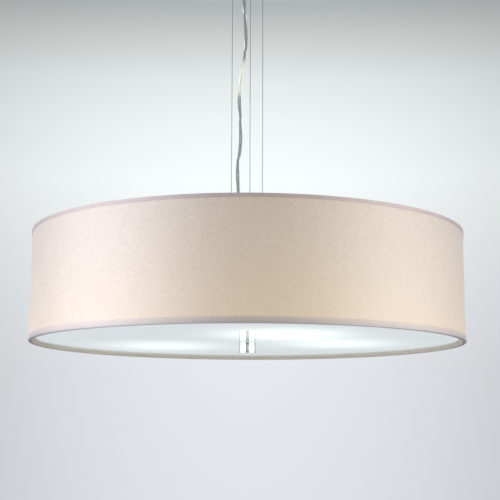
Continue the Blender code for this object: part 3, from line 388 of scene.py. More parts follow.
painted_highlight_glow = add_node(tree, "ShaderNodeMix", {
    0: painted_highlight_share, 6: (0.0, 0.0, 0.0, 1), 7: (0.30, 0.28, 0.22, 1),
}, data_type="RGBA")
tree.links.new(painted_highlight_glow.outputs[2], shader["Emission Color"])
shader["Emission Strength"].default_value = 1.0
ridges = add_node(tree, "ShaderNodeBump", {"Height": strands.outputs["Fac"], "Distance": 0.0002})
tree.links.new(ridges.outputs[0], shader["Normal"])



def clear_cord(name, route, body, node):
    """A clear sleeve along a route, in the place of a cord, and the two cores in it."""
    sleeve = tube(name + "_sleeve", route, cord_diameter, 6)
    fit(sleeve, clear_plastic, "clear_plastic", body, node)
    cores = []
    for number in (1, 2):
        wound = helix_along(route, core_offset, core_pitch, number * pi)
        core = tube(f"{name}_core_{number}", wound, core_diameter, 3)
        cores.append(fit(core, core_strands, "clear_plastic", body))
    return sleeve, cores


power_cord, cores = clear_cord("power_cord", cord_path, "canopy", "power_cord")
for piece in (power_cord, *cores):
    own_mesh(piece)


# The inner lead
# The same cord goes on from its grip in the plate, beside the rod, down into the hub. Inside
# the hub it is joined to the wires of the three lampholders.
def straight_route(start, end, count):
    """Evenly spaced points from one point to another."""
    return [Vector(start).lerp(Vector(end), i / count) for i in range(count + 1)]


low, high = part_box("inner_lead")
middle = (low + high) / 2
lead_path = straight_route((middle.x, middle.y, high.z), (middle.x, middle.y, low.z), 24)
inner_lead, cores = clear_cord("inner_lead", lead_path, "lamp_frame", "inner_lead")


# The suspension wires
# Steel rope 1 mm thick, six strands laid round a core, pulled straight by the weight of the
# lamp. They run from the grippers in the canopy to screwed ends on the plate.
def place(piece, location=(0, 0, 0), rotation=(0, 0, 0)):
    """Turn and move a piece, and put its place in its mesh."""
    note_shape(piece)
    alone(piece)
    piece.rotation_euler = rotation
    piece.location = location
    bpy.ops.object.transform_apply(location=True, rotation=True, scale=True)
    return piece


wire_diameter, lay_length, strand_share, lay_steps = 0.001, 0.008, 0.80, 10
steel_wire, tree, shader = new_material("steel_wire", (0.33, 0.34, 0.34), 0.35, 0.9)
marks = use_group(tree, handling, Vector=made_at(tree), Scale=300.0, Roughness=0.38, Spread=0.25)
tree.links.new(marks["Roughness"], shader["Roughness"])
tone = add_ramp(tree, marks["Mask"], [(0.3, (0.22, 0.23, 0.23)), (0.7, (0.42, 0.43, 0.43))])
tree.links.new(tone, shader["Base Color"])
for number in (1, 2, 3):
    low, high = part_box(f"suspension_wire_{number}")
    length, middle = high.z - low.z, (low + high) / 2
    bpy.ops.object.select_all(action="DESELECT")
    bpy.ops.mesh.primitive_circle_add(vertices=12, radius=wire_diameter / 2, location=(0, 0, 0))
    wire = bpy.context.object
    wire.name = wire.data.name = f"wire_rope_{number}"
    for spot in wire.data.vertices:
        if spot.index % 2:
            spot.co *= strand_share
    rope = wire.modifiers.new("lay", "SCREW")
    rope.iterations = round(length / lay_length)
    rope.screw_offset = length / rope.iterations
    rope.steps = rope.render_steps = lay_steps
    alone(wire)
    bpy.ops.object.modifier_apply(modifier="lay")
    bpy.ops.object.mode_set(mode="EDIT")
    bpy.ops.mesh.select_all(action="SELECT")
    bpy.ops.mesh.fill_holes(sides=0)
    bpy.ops.mesh.select_all(action="SELECT")
    bpy.ops.mesh.normals_make_consistent(inside=False)
    bpy.ops.object.mode_set(mode="OBJECT")
    place(wire, (middle.x, middle.y, low.z))
    fit(wire, steel_wire, "steel_wire", "canopy", f"suspension_wire_{number}", soft=70)
    top = (middle.x, middle.y, high.z)
    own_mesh(wire)


# The outer fabric
# A plain woven cloth with uneven upright threads, laminated on the stiff liner. Its ends lap
# over each other at the back, where the join shows as an upright seam. The lamps' light through
# it is painted as a glow in its finish, stronger towards the lower edge and weaker in the slubs.
def draw_outline(name, outline):
    """Draw a line edge by edge through (x, z) points, and leave it open for editing."""
    bpy.ops.object.select_all(action="DESELECT")
    bpy.ops.mesh.primitive_plane_add(size=0.001)
    piece = bpy.context.object
    piece.name = piece.data.name = name
    bpy.ops.object.mode_set(mode="EDIT")
    bpy.ops.mesh.select_mode(type="VERT")
    bpy.ops.mesh.merge(type="CENTER")
    points = [Vector((x, 0, z)) for x, z in outline]
    bpy.ops.transform.translate(value=points[0])
    for start, end in zip(points, points[1:]):
        bpy.ops.mesh.extrude_vertices_move(TRANSFORM_OT_translate={"value": end - start})
    bpy.ops.mesh.select_all(action="SELECT")
    return piece


def lathe(name, outline, sides):
    """Draw an outline of (radius, height) points and spin it round the upright axis."""
    piece = draw_outline(name, outline)
    bpy.ops.mesh.spin(steps=sides, angle=2 * pi, center=(0, 0, 0), axis=(0, 0, 1))
    bpy.ops.mesh.select_all(action="SELECT")
    bpy.ops.mesh.remove_doubles(threshold=0.000001)
    bpy.ops.mesh.normals_make_consistent(inside=False)
    bpy.ops.object.mode_set(mode="OBJECT")
    return piece


def round_edges(piece, width, steps=2, sharpest=40):
    """Round a piece's sharp edges, and note where the rounding is, for the wear of its finish."""
    alone(piece)
    for _ in range(2):
        piece.data.materials.append(None)
    rounding = piece.modifiers.new("edges", "BEVEL")
    rounding.width, rounding.segments, rounding.material = width, steps, 1
    rounding.limit_method, rounding.angle_limit = "ANGLE", radians(sharpest)
    bpy.ops.object.modifier_apply(modifier="edges")
    faces = piece.data.polygons
    flat = {spot for face in faces if not face.material_index for spot in face.vertices}
    wear = piece.data.attributes.new("wear", "FLOAT", "POINT")
    wear.data.foreach_set("value", [float(i not in flat) for i in range(len(piece.data.vertices))])
    faces.foreach_set("material_index", [0] * len(faces))
    return piece


def choose_faces(piece, wanted):
    """Open a piece for editing, with only those faces selected whose middle and normal are wanted."""
    alone(piece)
    bpy.ops.object.mode_set(mode="EDIT")
    bpy.ops.mesh.select_mode(type="FACE")
    bpy.ops.mesh.select_all(action="DESELECT")
    bpy.ops.object.mode_set(mode="OBJECT")
    for face in piece.data.polygons:
        face.select = wanted(face.center, face.normal)
    bpy.ops.object.mode_set(mode="EDIT")


def shell_outline(outer, inner, low, high, rows=1):
    """The closed outline of an upright wall, with its faces split into rows."""
    levels = [low + (high - low) * i / rows for i in range(rows + 1)]
    down = [(outer, level) for level in reversed(levels)]
    return down + [(inner, level) for level in levels] + [(outer, high)]


# the arc and the height of a point on the drum, with the start and the end of the arc at the back
on_drum, given, result = new_group(
    "on_the_drum", [("Vector", "Vector", None), ("Radius", "Float", 0.3)], [("Vector", "Vector")]
)
flat_place = add_node(on_drum, "ShaderNodeSeparateXYZ", {0: given["Vector"]}).outputs
backwards = maths(on_drum, "MULTIPLY", flat_place["Y"], -1.0)
arc_angle = maths(on_drum, "ARCTAN2", flat_place["X"], backwards)
arc_length = maths(on_drum, "MULTIPLY", arc_angle, given["Radius"])
unrolled = add_node(on_drum, "ShaderNodeCombineXYZ", {"X": arc_length, "Y": flat_place["Z"]})
on_drum.links.new(unrolled.outputs[0], result["Vector"])

# a plain weave of upright and level threads, with the uneven thickness of slub yarn
weave, given, result = new_group(
    "plain_weave",
    [("Vector", "Vector", None), ("Warp", "Float", 0.0005), ("Weft", "Float", 0.0006), ("Slub", "Float", 0.5)],
    [("Height", "Float"), ("Shade", "Float"), ("Slub", "Float")],
)
flat_place = add_node(weave, "ShaderNodeSeparateXYZ", {0: given["Vector"]}).outputs
across = maths(weave, "COSINE", maths(weave, "MULTIPLY", maths(weave, "DIVIDE", flat_place["X"], given["Warp"]), pi))
along = maths(weave, "COSINE", maths(weave, "MULTIPLY", maths(weave, "DIVIDE", flat_place["Y"], given["Weft"]), pi))
checker = maths(weave, "MULTIPLY", across, along)
over = maths(weave, "MULTIPLY_ADD", checker, 0.45, 0.55)
under = maths(weave, "SUBTRACT", 1.0, over)
upright_thread = maths(weave, "MULTIPLY", maths(weave, "ABSOLUTE", across), over)
level_thread = maths(weave, "MULTIPLY", maths(weave, "ABSOLUTE", along), under)
threads = maths(weave, "MAXIMUM", upright_thread, level_thread)
long_grain = add_node(weave, "ShaderNodeMapping", {"Vector": given["Vector"], "Scale": (1300.0, 200.0, 1.0)})
slubs = add_node(weave, "ShaderNodeTexNoise", {"Vector": long_grain.outputs[0], "Scale": 1.0, "Detail": 2.0})
wide_grain = add_node(weave, "ShaderNodeMapping", {"Vector": given["Vector"], "Scale": (160.0, 22.0, 1.0)})
streaks = add_node(weave, "ShaderNodeTexNoise", {"Vector": wide_grain.outputs[0], "Scale": 1.0, "Detail": 1.0})
uneven = maths(weave, "ADD", slubs.outputs["Fac"], maths(weave, "MULTIPLY", streaks.outputs["Fac"], 0.18))
centred = maths(weave, "SUBTRACT", uneven, 0.59)
weave.links.new(maths(weave, "MULTIPLY_ADD", centred, 0.6, threads), result["Height"])
worth = maths(weave, "MULTIPLY_ADD", centred, given["Slub"], 1.0)
# the Shade output is the slubs' uneven tone, with painted shade making the hollows between threads a little darker
gaps = maths(weave, "MULTIPLY_ADD", threads, 0.12, 0.93)
weave.links.new(maths(weave, "MULTIPLY", worth, gaps), result["Shade"])
weave.links.new(centred, result["Slub"])

drum_sides, drum_rows = 240, 6
fabric_low, fabric_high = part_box("shade_fabric")
fabric_radius, fabric_thickness = fabric_high.x, 0.0006
lap_thickness = 0.00035
fabric_colour, fabric_painted_glow = (0.700, 0.620, 0.600), (0.193, 0.125, 0.022)
fabric_drum = lathe(
    "fabric_drum",
    shell_outline(fabric_radius, fabric_radius - fabric_thickness, fabric_low.z, fabric_high.z, drum_rows),
    drum_sides,
)
strip_angle = 2 * pi / drum_sides
half_strip = fabric_radius * strip_angle * 0.6


def is_lap(middle, normal):
    """Whether a face is in the strip of double cloth at the back."""
    return abs(middle.x - fabric_radius * strip_angle / 2) < half_strip and middle.y > 0 and normal.y > 0.9


choose_faces(fabric_drum, is_lap)
bpy.ops.mesh.extrude_region_shrink_fatten(TRANSFORM_OT_shrink_fatten={"value": lap_thickness})
bpy.ops.object.mode_set(mode="OBJECT")

shade_fabric, tree, shader = new_material(
    "shade_fabric", fabric_colour, 0.9, Sheen_Weight=0.15, Sheen_Roughness=0.5,
    Specular_IOR_Level=0.25, Emission_Strength=1.0,
)
unrolled = use_group(tree, on_drum, Vector=made_at(tree), Radius=fabric_radius)["Vector"]
cloth = use_group(tree, weave, Vector=unrolled, Warp=0.00050, Weft=0.00060, Slub=0.65)
tint = add_node(tree, "ShaderNodeMix", {0: 1.0, 6: (*fabric_colour, 1)}, data_type="RGBA", blend_type="MULTIPLY")
tree.links.new(cloth["Shade"], tint.inputs[7])
tree.links.new(tint.outputs[2], shader["Base Color"])
relief = add_node(tree, "ShaderNodeBump", {"Height": cloth["Height"], "Distance": 0.00012, "Strength": 0.6})
tree.links.new(relief.outputs[0], shader["Normal"])
# painted light: the lamps' light through the cloth is painted as a glow, stronger lower down and weaker where the
# slubs are thick
level = add_node(tree, "ShaderNodeSeparateXYZ", {0: unrolled}).outputs["Y"]
painted_glow_height = add_node(tree, "ShaderNodeMapRange", {
    "Value": level, "From Min": fabric_low.z, "From Max": fabric_high.z, "To Min": 1.25, "To Max": 0.7,
}).outputs[0]
through = maths(tree, "MULTIPLY", painted_glow_height, maths(tree, "MULTIPLY_ADD", cloth["Slub"], -0.8, 1.0))
lit = add_node(tree, "ShaderNodeMix", {0: 1.0, 6: (*fabric_painted_glow, 1)}, data_type="RGBA", blend_type="MULTIPLY")
tree.links.new(through, lit.inputs[7])
tree.links.new(lit.outputs[2], shader["Emission Color"])
fit(fabric_drum, shade_fabric, "shade_fabric", "lamp_frame", "shade_fabric")

# The liner
# A sheet of white plastic film, rolled into a drum and glued to the two rings. The fabric is
# laminated on it. The lamps' light on it is painted as a faint glow in its finish, on both faces.
liner_low, liner_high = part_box("shade_liner")
liner_radius, liner_thickness, liner_colour = liner_high.x, 0.0006, (0.86, 0.83, 0.76)
liner_drum = lathe(
    "liner_drum",
    shell_outline(liner_radius, liner_radius - liner_thickness, liner_low.z, liner_high.z, drum_rows),
    drum_sides,
)
shade_liner, tree, shader = new_material(
    "shade_liner", liner_colour, 0.45, Emission_Strength=1.0
)
unrolled = use_group(tree, on_drum, Vector=made_at(tree), Radius=liner_radius)["Vector"]
cloud = add_node(tree, "ShaderNodeTexNoise", {"Vector": unrolled, "Scale": 18.0, "Detail": 4.0}).outputs["Fac"]
film = add_ramp(tree, cloud, [(0.3, (0.80, 0.77, 0.71)), (0.7, (0.85, 0.82, 0.76))])
tree.links.new(film, shader["Base Color"])
marks = use_group(tree, handling, Vector=unrolled, Scale=30.0, Roughness=0.45, Spread=0.2)
tree.links.new(marks["Roughness"], shader["Roughness"])
# painted light: a faint glow, uneven with the film's clouding, stands for the lamps' light on the film
warm = add_ramp(tree, cloud, [(0.2, (0.115, 0.106, 0.062)), (0.8, (0.140, 0.128, 0.078))])
tree.links.new(warm, shader["Emission Color"])
fit(liner_drum, shade_liner, "shade_liner", "lamp_frame", "shade_liner")

# The hems
# A narrow tape of closer cloth is folded over each edge of the drum and round its ring, and
# glued down inside and outside. The upper one is notched where the spokes pass it. The lower
# one's outside is painted darker towards its foot as painted shade, and the inner legs are
# painted paler, with a faint glow, as painted lamp light.
top_hem_outside, bottom_hem_outside, hem_inside, hem_thickness, hem_inner = 0.0048, 0.0075, 0.0065, 0.0004, 0.2938
# The foot colour is painted shade at the lower hem's edge, and the inside colour is the tape made paler by painted
# lamp light.
hem_colour, hem_foot_painted_shade, hem_inside_painted_light = (0.700, 0.565, 0.540), (0.630, 0.550, 0.545), (0.90, 0.78, 0.70)
spoke_clear_width = 0.005
first_lamp, lamp_turns = radians(36), []
for number in (1, 2, 3):
    lamp_turns.append(first_lamp + 2 * pi * (number - 1) / 3)


def join_by(piece, other, operation):
    """Cut a piece with another one, or unite them, and do away with the other."""
    alone(piece)
    step = piece.modifiers.new("join", "BOOLEAN")
    step.operation, step.object, step.solver = operation, other, "EXACT"
    bpy.ops.object.modifier_apply(modifier="join")
    bpy.data.objects.remove(other)
    return piece


hem_tape, tree, shader = new_material(
    "hem_tape", hem_colour, 0.85, Sheen_Weight=0.05, Specular_IOR_Level=0.25, Emission_Strength=1.0
)
unrolled = use_group(tree, on_drum, Vector=made_at(tree), Radius=fabric_radius)["Vector"]
cloth = use_group(tree, weave, Vector=unrolled, Warp=0.00036, Weft=0.00034, Slub=0.10)
where = made_at(tree)
hem_height = add_node(tree, "ShaderNodeSeparateXYZ", {0: where}).outputs["Z"]
# painted shade: the lower hem's outside is painted lighter near its top and darker towards its foot, where the rolled
# tape turns away from the light
painted_shade_share = add_node(tree, "ShaderNodeMapRange", {
    "Value": hem_height, "From Min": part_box("bottom_hem")[0].z, "From Max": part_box("bottom_hem")[0].z + bottom_hem_outside,
}).outputs[0]
outside_painted_shade_tone = add_ramp(tree, painted_shade_share, [
    (0.0, hem_foot_painted_shade), (0.5, (0.780, 0.650, 0.590)), (0.97, (0.840, 0.705, 0.640)), (1.0, hem_colour),
])
# painted light: the inner legs, inside the drum, are painted paler and given a faint glow for the lamps' light on
# them
from_axis = maths(tree, "SQRT", maths(tree, "SUBTRACT", add_node(
    tree, "ShaderNodeVectorMath", {0: where, 1: where}, operation="DOT_PRODUCT",
).outputs["Value"], maths(tree, "MULTIPLY", hem_height, hem_height)))
outside_share = add_node(tree, "ShaderNodeMapRange", {
    "Value": from_axis, "From Min": hem_inner + hem_thickness, "From Max": hem_inner + 3 * hem_thickness,
}).outputs[0]
painted_lamp_glow = add_ramp(tree, outside_share, [(0.0, (0.030, 0.012, 0.006)), (1.0, (0.0, 0.0, 0.0))])
tree.links.new(painted_lamp_glow, shader["Emission Color"])
tone = add_node(tree, "ShaderNodeMix", {0: outside_share, 6: (*hem_inside_painted_light, 1), 7: outside_painted_shade_tone}, data_type="RGBA")
tint = add_node(tree, "ShaderNodeMix", {0: 1.0, 6: tone.outputs[2]}, data_type="RGBA", blend_type="MULTIPLY")
tree.links.new(cloth["Shade"], tint.inputs[7])
tree.links.new(tint.outputs[2], shader["Base Color"])
relief = add_node(tree, "ShaderNodeBump", {"Height": cloth["Height"], "Distance": 0.0001, "Strength": 0.6})
tree.links.new(relief.outputs[0], shader["Normal"])
for name, way, hem_outside in (("top_hem", 1, top_hem_outside), ("bottom_hem", -1, bottom_hem_outside)):
    low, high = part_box(name)
    edge, outer = high.z if way > 0 else low.z, high.x
    outer_leg, inner_leg = outer - hem_thickness, hem_inner + hem_thickness
    outside, inside, fold = edge - way * hem_outside, edge - way * hem_inside, edge - way * hem_thickness
    outline = [(outer, edge), (outer, outside), (outer_leg, outside), (outer_leg, fold)]
    outline += [(inner_leg, fold), (inner_leg, inside), (hem_inner, inside), (hem_inner, edge), (outer, edge)]
    hem = round_edges(lathe(name + "_tape", outline, drum_sides), 0.00012)
    if way > 0:
        for turn in lamp_turns:
            notch_top, notch_bottom = edge - hem_thickness * 0.75, inside - 0.002
            bpy.ops.object.select_all(action="DESELECT")
            bpy.ops.mesh.primitive_cube_add(size=1)
            notch = bpy.context.object
            notch.scale = (0.003, spoke_clear_width, notch_top - notch_bottom)
            reach = hem_inner + hem_thickness / 2
            notch.location = (reach * cos(turn), reach * sin(turn), (notch_top + notch_bottom) / 2)
            notch.rotation_euler = (0, 0, turn)
            join_by(hem, notch, "DIFFERENCE")
    fit(hem, hem_tape, "hem_tape", "lamp_frame", name)

# The ring frames
# Wire 3 mm thick, bent into two rings, welded and coated white. The upper ring carries three
# spokes and an eye that is clamped on the rod; the lower one only keeps the drum round.
ring_wire = 0.003


def coated(name, colour, roughness, spread, speckle, dust, metallic=0.0):
    """A coat of enamel or zinc, or a moulded plastic, a little uneven and dusty in patches."""
    material, tree, shader = new_material(name, colour, roughness, metallic)
    where = made_at(tree)
    marks = use_group(tree, handling, Vector=where, Scale=45.0, Roughness=roughness, Spread=spread)
    tree.links.new(marks["Roughness"], shader["Roughness"])
    colour_there = use_group(tree, wear_and_dust, Colour=(*colour, 1), Vector=where, Dust=dust)
    tree.links.new(colour_there["Colour"], shader["Base Color"])
    peel = add_node(tree, "ShaderNodeTexNoise", {"Vector": where, "Scale": speckle, "Detail": 2.0})
    skin = add_node(tree, "ShaderNodeBump", {"Height": peel.outputs["Fac"], "Distance": 0.00004})
    tree.links.new(skin.outputs[0], shader["Normal"])
    return material


# a finish that is worn to another colour along its edges and greyed by patches of dust
wear_and_dust, given, result = new_group(
    "wear_and_dust",
    [
        ("Colour", "Color", (0.8, 0.8, 0.8, 1)), ("Worn", "Color", (0.9, 0.9, 0.9, 1)),
        ("Vector", "Vector", None), ("Edge", "Float", 0.0), ("Dust", "Float", 0.1),
    ],
    [("Colour", "Color"), ("Mask", "Float")],
)
scuffs = add_node(wear_and_dust, "ShaderNodeTexNoise", {"Vector": given["Vector"], "Scale": 260.0, "Detail": 4.0})
patchy = maths(wear_and_dust, "MULTIPLY_ADD", scuffs.outputs["Fac"], 2.4, -0.7, clamp=True)
worn = maths(wear_and_dust, "MULTIPLY", patchy, given["Edge"], clamp=True)
bare = add_node(wear_and_dust, "ShaderNodeMix", {0: worn, 6: given["Colour"], 7: given["Worn"]}, data_type="RGBA")
drift = add_node(wear_and_dust, "ShaderNodeTexNoise", {"Vector": given["Vector"], "Scale": 55.0, "Detail": 5.0})
film_of_dust = maths(wear_and_dust, "MULTIPLY", drift.outputs["Fac"], given["Dust"], clamp=True)
dusty = add_node(wear_and_dust, "ShaderNodeMix", {
    0: film_of_dust, 6: bare.outputs[2], 7: (0.52, 0.50, 0.46, 1),
}, data_type="RGBA")
wear_and_dust.links.new(dusty.outputs[2], result["Colour"])
wear_and_dust.links.new(worn, result["Mask"])

white_enamel = coated("white_enamel", (0.84, 0.84, 0.82), 0.42, 0.15, 700.0, 0.15)


def rod_between(name, start, end, radius, sides):
    """A plain round bar between two points."""
    start, end = Vector(start), Vector(end)
    bpy.ops.object.select_all(action="DESELECT")
    bpy.ops.mesh.primitive_cylinder_add(
        vertices=sides, radius=radius, depth=(end - start).length, location=(start + end) / 2,
        rotation=(end - start).to_track_quat("Z", "Y").to_euler(),
    )
    bar = bpy.context.object
    bar.name = bar.data.name = name
    return bar


def wire_ring(name, node):
    """A ring of wire where a node's ring is."""
    low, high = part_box(node)
    bpy.ops.object.select_all(action="DESELECT")
    bpy.ops.mesh.primitive_torus_add(
        major_radius=high.x - ring_wire / 2, minor_radius=ring_wire / 2, major_segments=drum_sides,
        minor_segments=14, location=(0, 0, (low.z + high.z) / 2),
    )
    ring = bpy.context.object
    ring.name = ring.data.name = name
    return place(ring, tuple(ring.location))


bottom_ring = wire_ring("bottom_wire_ring", "bottom_ring")
fit(bottom_ring, white_enamel, "white_enamel", "lamp_frame", "bottom_ring")
eye_radius, eye_bore, weld_radius = 0.0125, 0.0053, 0.0024
low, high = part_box("shade_spider")
spider_level, ring_radius = (low.z + high.z) / 2, high.x - ring_wire / 2
spider = wire_ring("top_ring_and_spokes", "shade_spider")
eye_half = (high.z - low.z) / 2
outline = [(eye_bore, eye_half), (eye_radius - 0.0005, eye_half), (eye_radius, eye_half - 0.0005)]
outline += [(eye_radius, 0.0005 - eye_half), (eye_radius - 0.0005, -eye_half), (eye_bore, -eye_half)]
outline.append(outline[0])
eye = place(lathe("spider_eye", outline, 64), (0, 0, spider_level))
join_by(spider, eye, "UNION")
for turn in lamp_turns:
    heading = Vector((cos(turn), sin(turn), 0))
    start, end = heading * (eye_radius - 0.0015), heading * ring_radius
    lift = Vector((0, 0, spider_level))
    join_by(spider, rod_between("spoke", start + lift, end + lift, ring_wire / 2 * 0.98, 20), "UNION")
    for spot, size in ((heading * (eye_radius + 0.0004), 0.8), (heading * (ring_radius - 0.0014), 1.0)):
        bpy.ops.object.select_all(action="DESELECT")
        bpy.ops.mesh.primitive_uv_sphere_add(segments=20, ring_count=10, radius=weld_radius, location=spot + lift)
        weld = bpy.context.object
        weld.scale = (size, size, 0.62)
        weld.rotation_euler = (0, 0, turn)
        join_by(spider, weld, "UNION")
fit(spider, white_enamel, "white_enamel", "lamp_frame", "shade_spider", soft=30)

# The frosted glass
# A disc of float glass 4 mm thick with a polished edge. Its upper face is etched matt and its
# underside is smooth, so it mirrors the hem. The lamps' light through it is painted as a glow in
# its finish: a faint one all over and a soft white patch where each lamp is.
glass_low, glass_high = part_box("diffuser_glass")
glass_radius, glass_bore, glass_arris = glass_high.x, 0.0057, 0.0006
outline = shell_outline(glass_radius, glass_bore, glass_low.z, glass_high.z)
glass_disc = round_edges(lathe("glass_disc", outline, drum_sides), glass_arris, 3)
frosted_glass, tree, shader = new_material(
    "frosted_glass", (0.78, 0.81, 0.80), 0.42, IOR=1.5, Coat_Weight=1.0, Coat_Roughness=0.03,
    Emission_Strength=1.0,
)
where = made_at(tree)
frost = add_node(tree, "ShaderNodeTexNoise", {"Vector": where, "Scale": 1400.0, "Detail": 2.0}).outputs["Fac"]
grain = add_node(tree, "ShaderNodeBump", {"Height": frost, "Distance": 0.00003, "Strength": 0.5})
tree.links.new(grain.outputs[0], shader["Normal"])
marks = use_group(tree, handling, Vector=where, Scale=14.0, Roughness=0.42, Spread=0.12)
tree.links.new(marks["Roughness"], shader["Roughness"])
spread_out = add_node(tree, "ShaderNodeSeparateXYZ", {0: where}).outputs
from_axis = maths(tree, "SQRT", maths(
    tree, "ADD", maths(tree, "MULTIPLY", spread_out["X"], spread_out["X"]),
    maths(tree, "MULTIPLY", spread_out["Y"], spread_out["Y"]),
))
rim_share = maths(tree, "DIVIDE", from_axis, glass_radius)
body_tint = add_ramp(tree, rim_share, [
    (0.0, (0.66, 0.70, 0.69)), (0.985, (0.62, 0.655, 0.655)), (1.0, (0.36, 0.55, 0.47)),
])
tree.links.new(body_tint, shader["Base Color"])
# painted light: a faint glow over the whole disc and a soft white patch over each lamp, set in its emission
painted_lamp_spots = [((-0.1205, 0.0695), 0.080, 1.0), ((0.1285, 0.0245), 0.075, 1.1), ((0.046, -0.120), 0.074, 1.6)]
glass_painted_glow = 0.30
for (x, y), width, strength in painted_lamp_spots:
    away = add_node(tree, "ShaderNodeVectorMath", {0: where, 1: (x, y, glass_low.z)}, operation="DISTANCE")
    reach = maths(tree, "POWER", maths(tree, "DIVIDE", away.outputs["Value"], width), 2.0)
    patch = maths(tree, "MULTIPLY", maths(tree, "EXPONENT", maths(tree, "MULTIPLY", reach, -1.0)), strength)
    glass_painted_glow = maths(tree, "ADD", patch, glass_painted_glow)
painted_light_mix = add_node(tree, "ShaderNodeMix", {0: 1.0, 6: (0.84, 1.0, 0.90, 1)}, data_type="RGBA", blend_type="MULTIPLY")
tree.links.new(glass_painted_glow, painted_light_mix.inputs[7])
tree.links.new(painted_light_mix.outputs[2], shader["Emission Color"])
fit(glass_disc, frosted_glass, "frosted_glass", "diffuser", "diffuser_glass")

# The glass washers
# Two soft discs of pale rubber, one on each side of the glass, so that the stop nut and the
# collar don't bear on it.
pale_rubber = coated("pale_rubber", (0.78, 0.78, 0.75), 0.6, 0.15, 900.0, 0.2)
for name in ("glass_washer_upper", "glass_washer_lower"):
    low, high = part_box(name)
    outline = shell_outline(high.y, 0.0053, low.z, high.z)
    washer = round_edges(lathe(name.replace("glass_", "rubber_"), outline, 64), 0.0003, 3)
    fit(washer, pale_rubber, "pale_rubber", "diffuser", name)


# The finial
# Two short cylinders of turned and chromed brass on the end of the rod: the collar holds the
# glass and takes the lower washer in its top, and the cap closes the bore.
def metal(name, colour, roughness, spread, ring_depth, dust, edge_share=0.5):
    """A turned metal: fine rings, wandering gloss, paler worn edges and a little dust."""
    material, tree, shader = new_material(name, colour, roughness, 1.0)
    where = made_at(tree)
    marks = use_group(tree, handling, Vector=where, Scale=60.0, Roughness=roughness, Spread=spread)
    tree.links.new(marks["Roughness"], shader["Roughness"])
    edge = add_node(tree, "ShaderNodeAttribute", attribute_name="wear").outputs["Fac"]
    pale = tuple(n + (1 - n) * 0.35 for n in colour)
    colour_there = use_group(
        tree, wear_and_dust, Colour=(*colour, 1), Worn=(*pale, 1), Vector=where,
        Edge=maths(tree, "MULTIPLY", edge, edge_share), Dust=dust,
    )
    tree.links.new(colour_there["Colour"], shader["Base Color"])
    rings = use_group(tree, turning, Vector=where)["Height"]
    cut = add_node(tree, "ShaderNodeBump", {"Height": rings, "Distance": ring_depth})
    tree.links.new(cut.outputs[0], shader["Normal"])
    return material


# the fine rings that a lathe tool leaves, round the piece's own axis
turning, given, result = new_group("turning_rings", [("Vector", "Vector", None)], [("Height", "Float")])
flat_place = add_node(turning, "ShaderNodeSeparateXYZ", {0: given["Vector"]}).outputs
radius_there = maths(turning, "SQRT", maths(
    turning, "ADD", maths(turning, "MULTIPLY", flat_place["X"], flat_place["X"]),
    maths(turning, "MULTIPLY", flat_place["Y"], flat_place["Y"]),
))
section = add_node(turning, "ShaderNodeCombineXYZ", {"X": radius_there, "Y": flat_place["Z"]})
lines = add_node(turning, "ShaderNodeTexNoise", {"Vector": section.outputs[0], "Scale": 4500.0, "Detail": 1.0})
turning.links.new(lines.outputs["Fac"], result["Height"])

polished_chrome = metal("polished_chrome", (0.74, 0.75, 0.75), 0.06, 0.05, 0.0000015, 0.03)
finial_bore, finial_edge, cap_blind_depth, washer_room = 0.0054, 0.0004, 0.0092, 0.0003
washer_low, washer_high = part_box("glass_washer_lower")
for name in ("finial_collar", "finial_cap"):
    low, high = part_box(name)
    seat, seat_radius = washer_low.z - washer_room, washer_high.y + washer_room
    outline = [(high.x, high.z), (high.x, low.z), (finial_bore, low.z), (finial_bore, seat)]
    outline += [(seat_radius, seat), (seat_radius, high.z), (high.x, high.z)]
    if name == "finial_cap":
        blind = high.z - cap_blind_depth
        outline = [(0, blind), (finial_bore, blind), (finial_bore, high.z), (high.x, high.z), (high.x, low.z)]
        outline.append((0, low.z))
    turned = round_edges(lathe("turned_" + name, outline, 128), finial_edge, 3)
    fit(turned, polished_chrome, "polished_chrome", "finial", name)


# The rod, its nuts and the spacer
# A zinc-plated pipe with a fine thread carries everything. Hexagon nuts clamp the plate, the
# shade's eye, the spacer and the hub on it, and a stop nut sets how far the glass goes up.
def screw_thread(name, tooth, pitch, low, high, sides):
    """A solid bar with a screw thread: a tooth, repeated, screwed up and cut off square."""
    start = low - 2 * pitch
    outline = [(radius, start + share * pitch) for radius, share in tooth]
    bar = draw_outline(name, [*outline, (tooth[0][0], start + pitch)])
    bpy.ops.object.mode_set(mode="OBJECT")
    alone(bar)
    teeth = bar.modifiers.new("teeth", "ARRAY")
    teeth.count = int((high - low) / pitch) + 4
    teeth.use_relative_offset, teeth.use_constant_offset = False, True
    teeth.constant_offset_displace = (0, 0, pitch)
    teeth.use_merge_vertices, teeth.merge_threshold = True, 0.000002
    bpy.ops.object.modifier_apply(modifier="teeth")
    rise = bar.modifiers.new("rise", "SCREW")
    rise.screw_offset = pitch
    rise.steps = rise.render_steps = sides
    bpy.ops.object.modifier_apply(modifier="rise")
    bpy.ops.object.mode_set(mode="EDIT")
    bpy.ops.mesh.select_all(action="SELECT")
    bpy.ops.mesh.remove_doubles(threshold=0.000002)
    for level, side in ((low, "clear_inner"), (high, "clear_outer")):
        bpy.ops.mesh.select_all(action="SELECT")
        bpy.ops.mesh.bisect(plane_co=(0, 0, level), plane_no=(0, 0, 1), use_fill=True, **{side: True})
    bpy.ops.mesh.select_all(action="SELECT")
    bpy.ops.mesh.normals_make_consistent(inside=False)
    bpy.ops.object.mode_set(mode="OBJECT")
    return bar


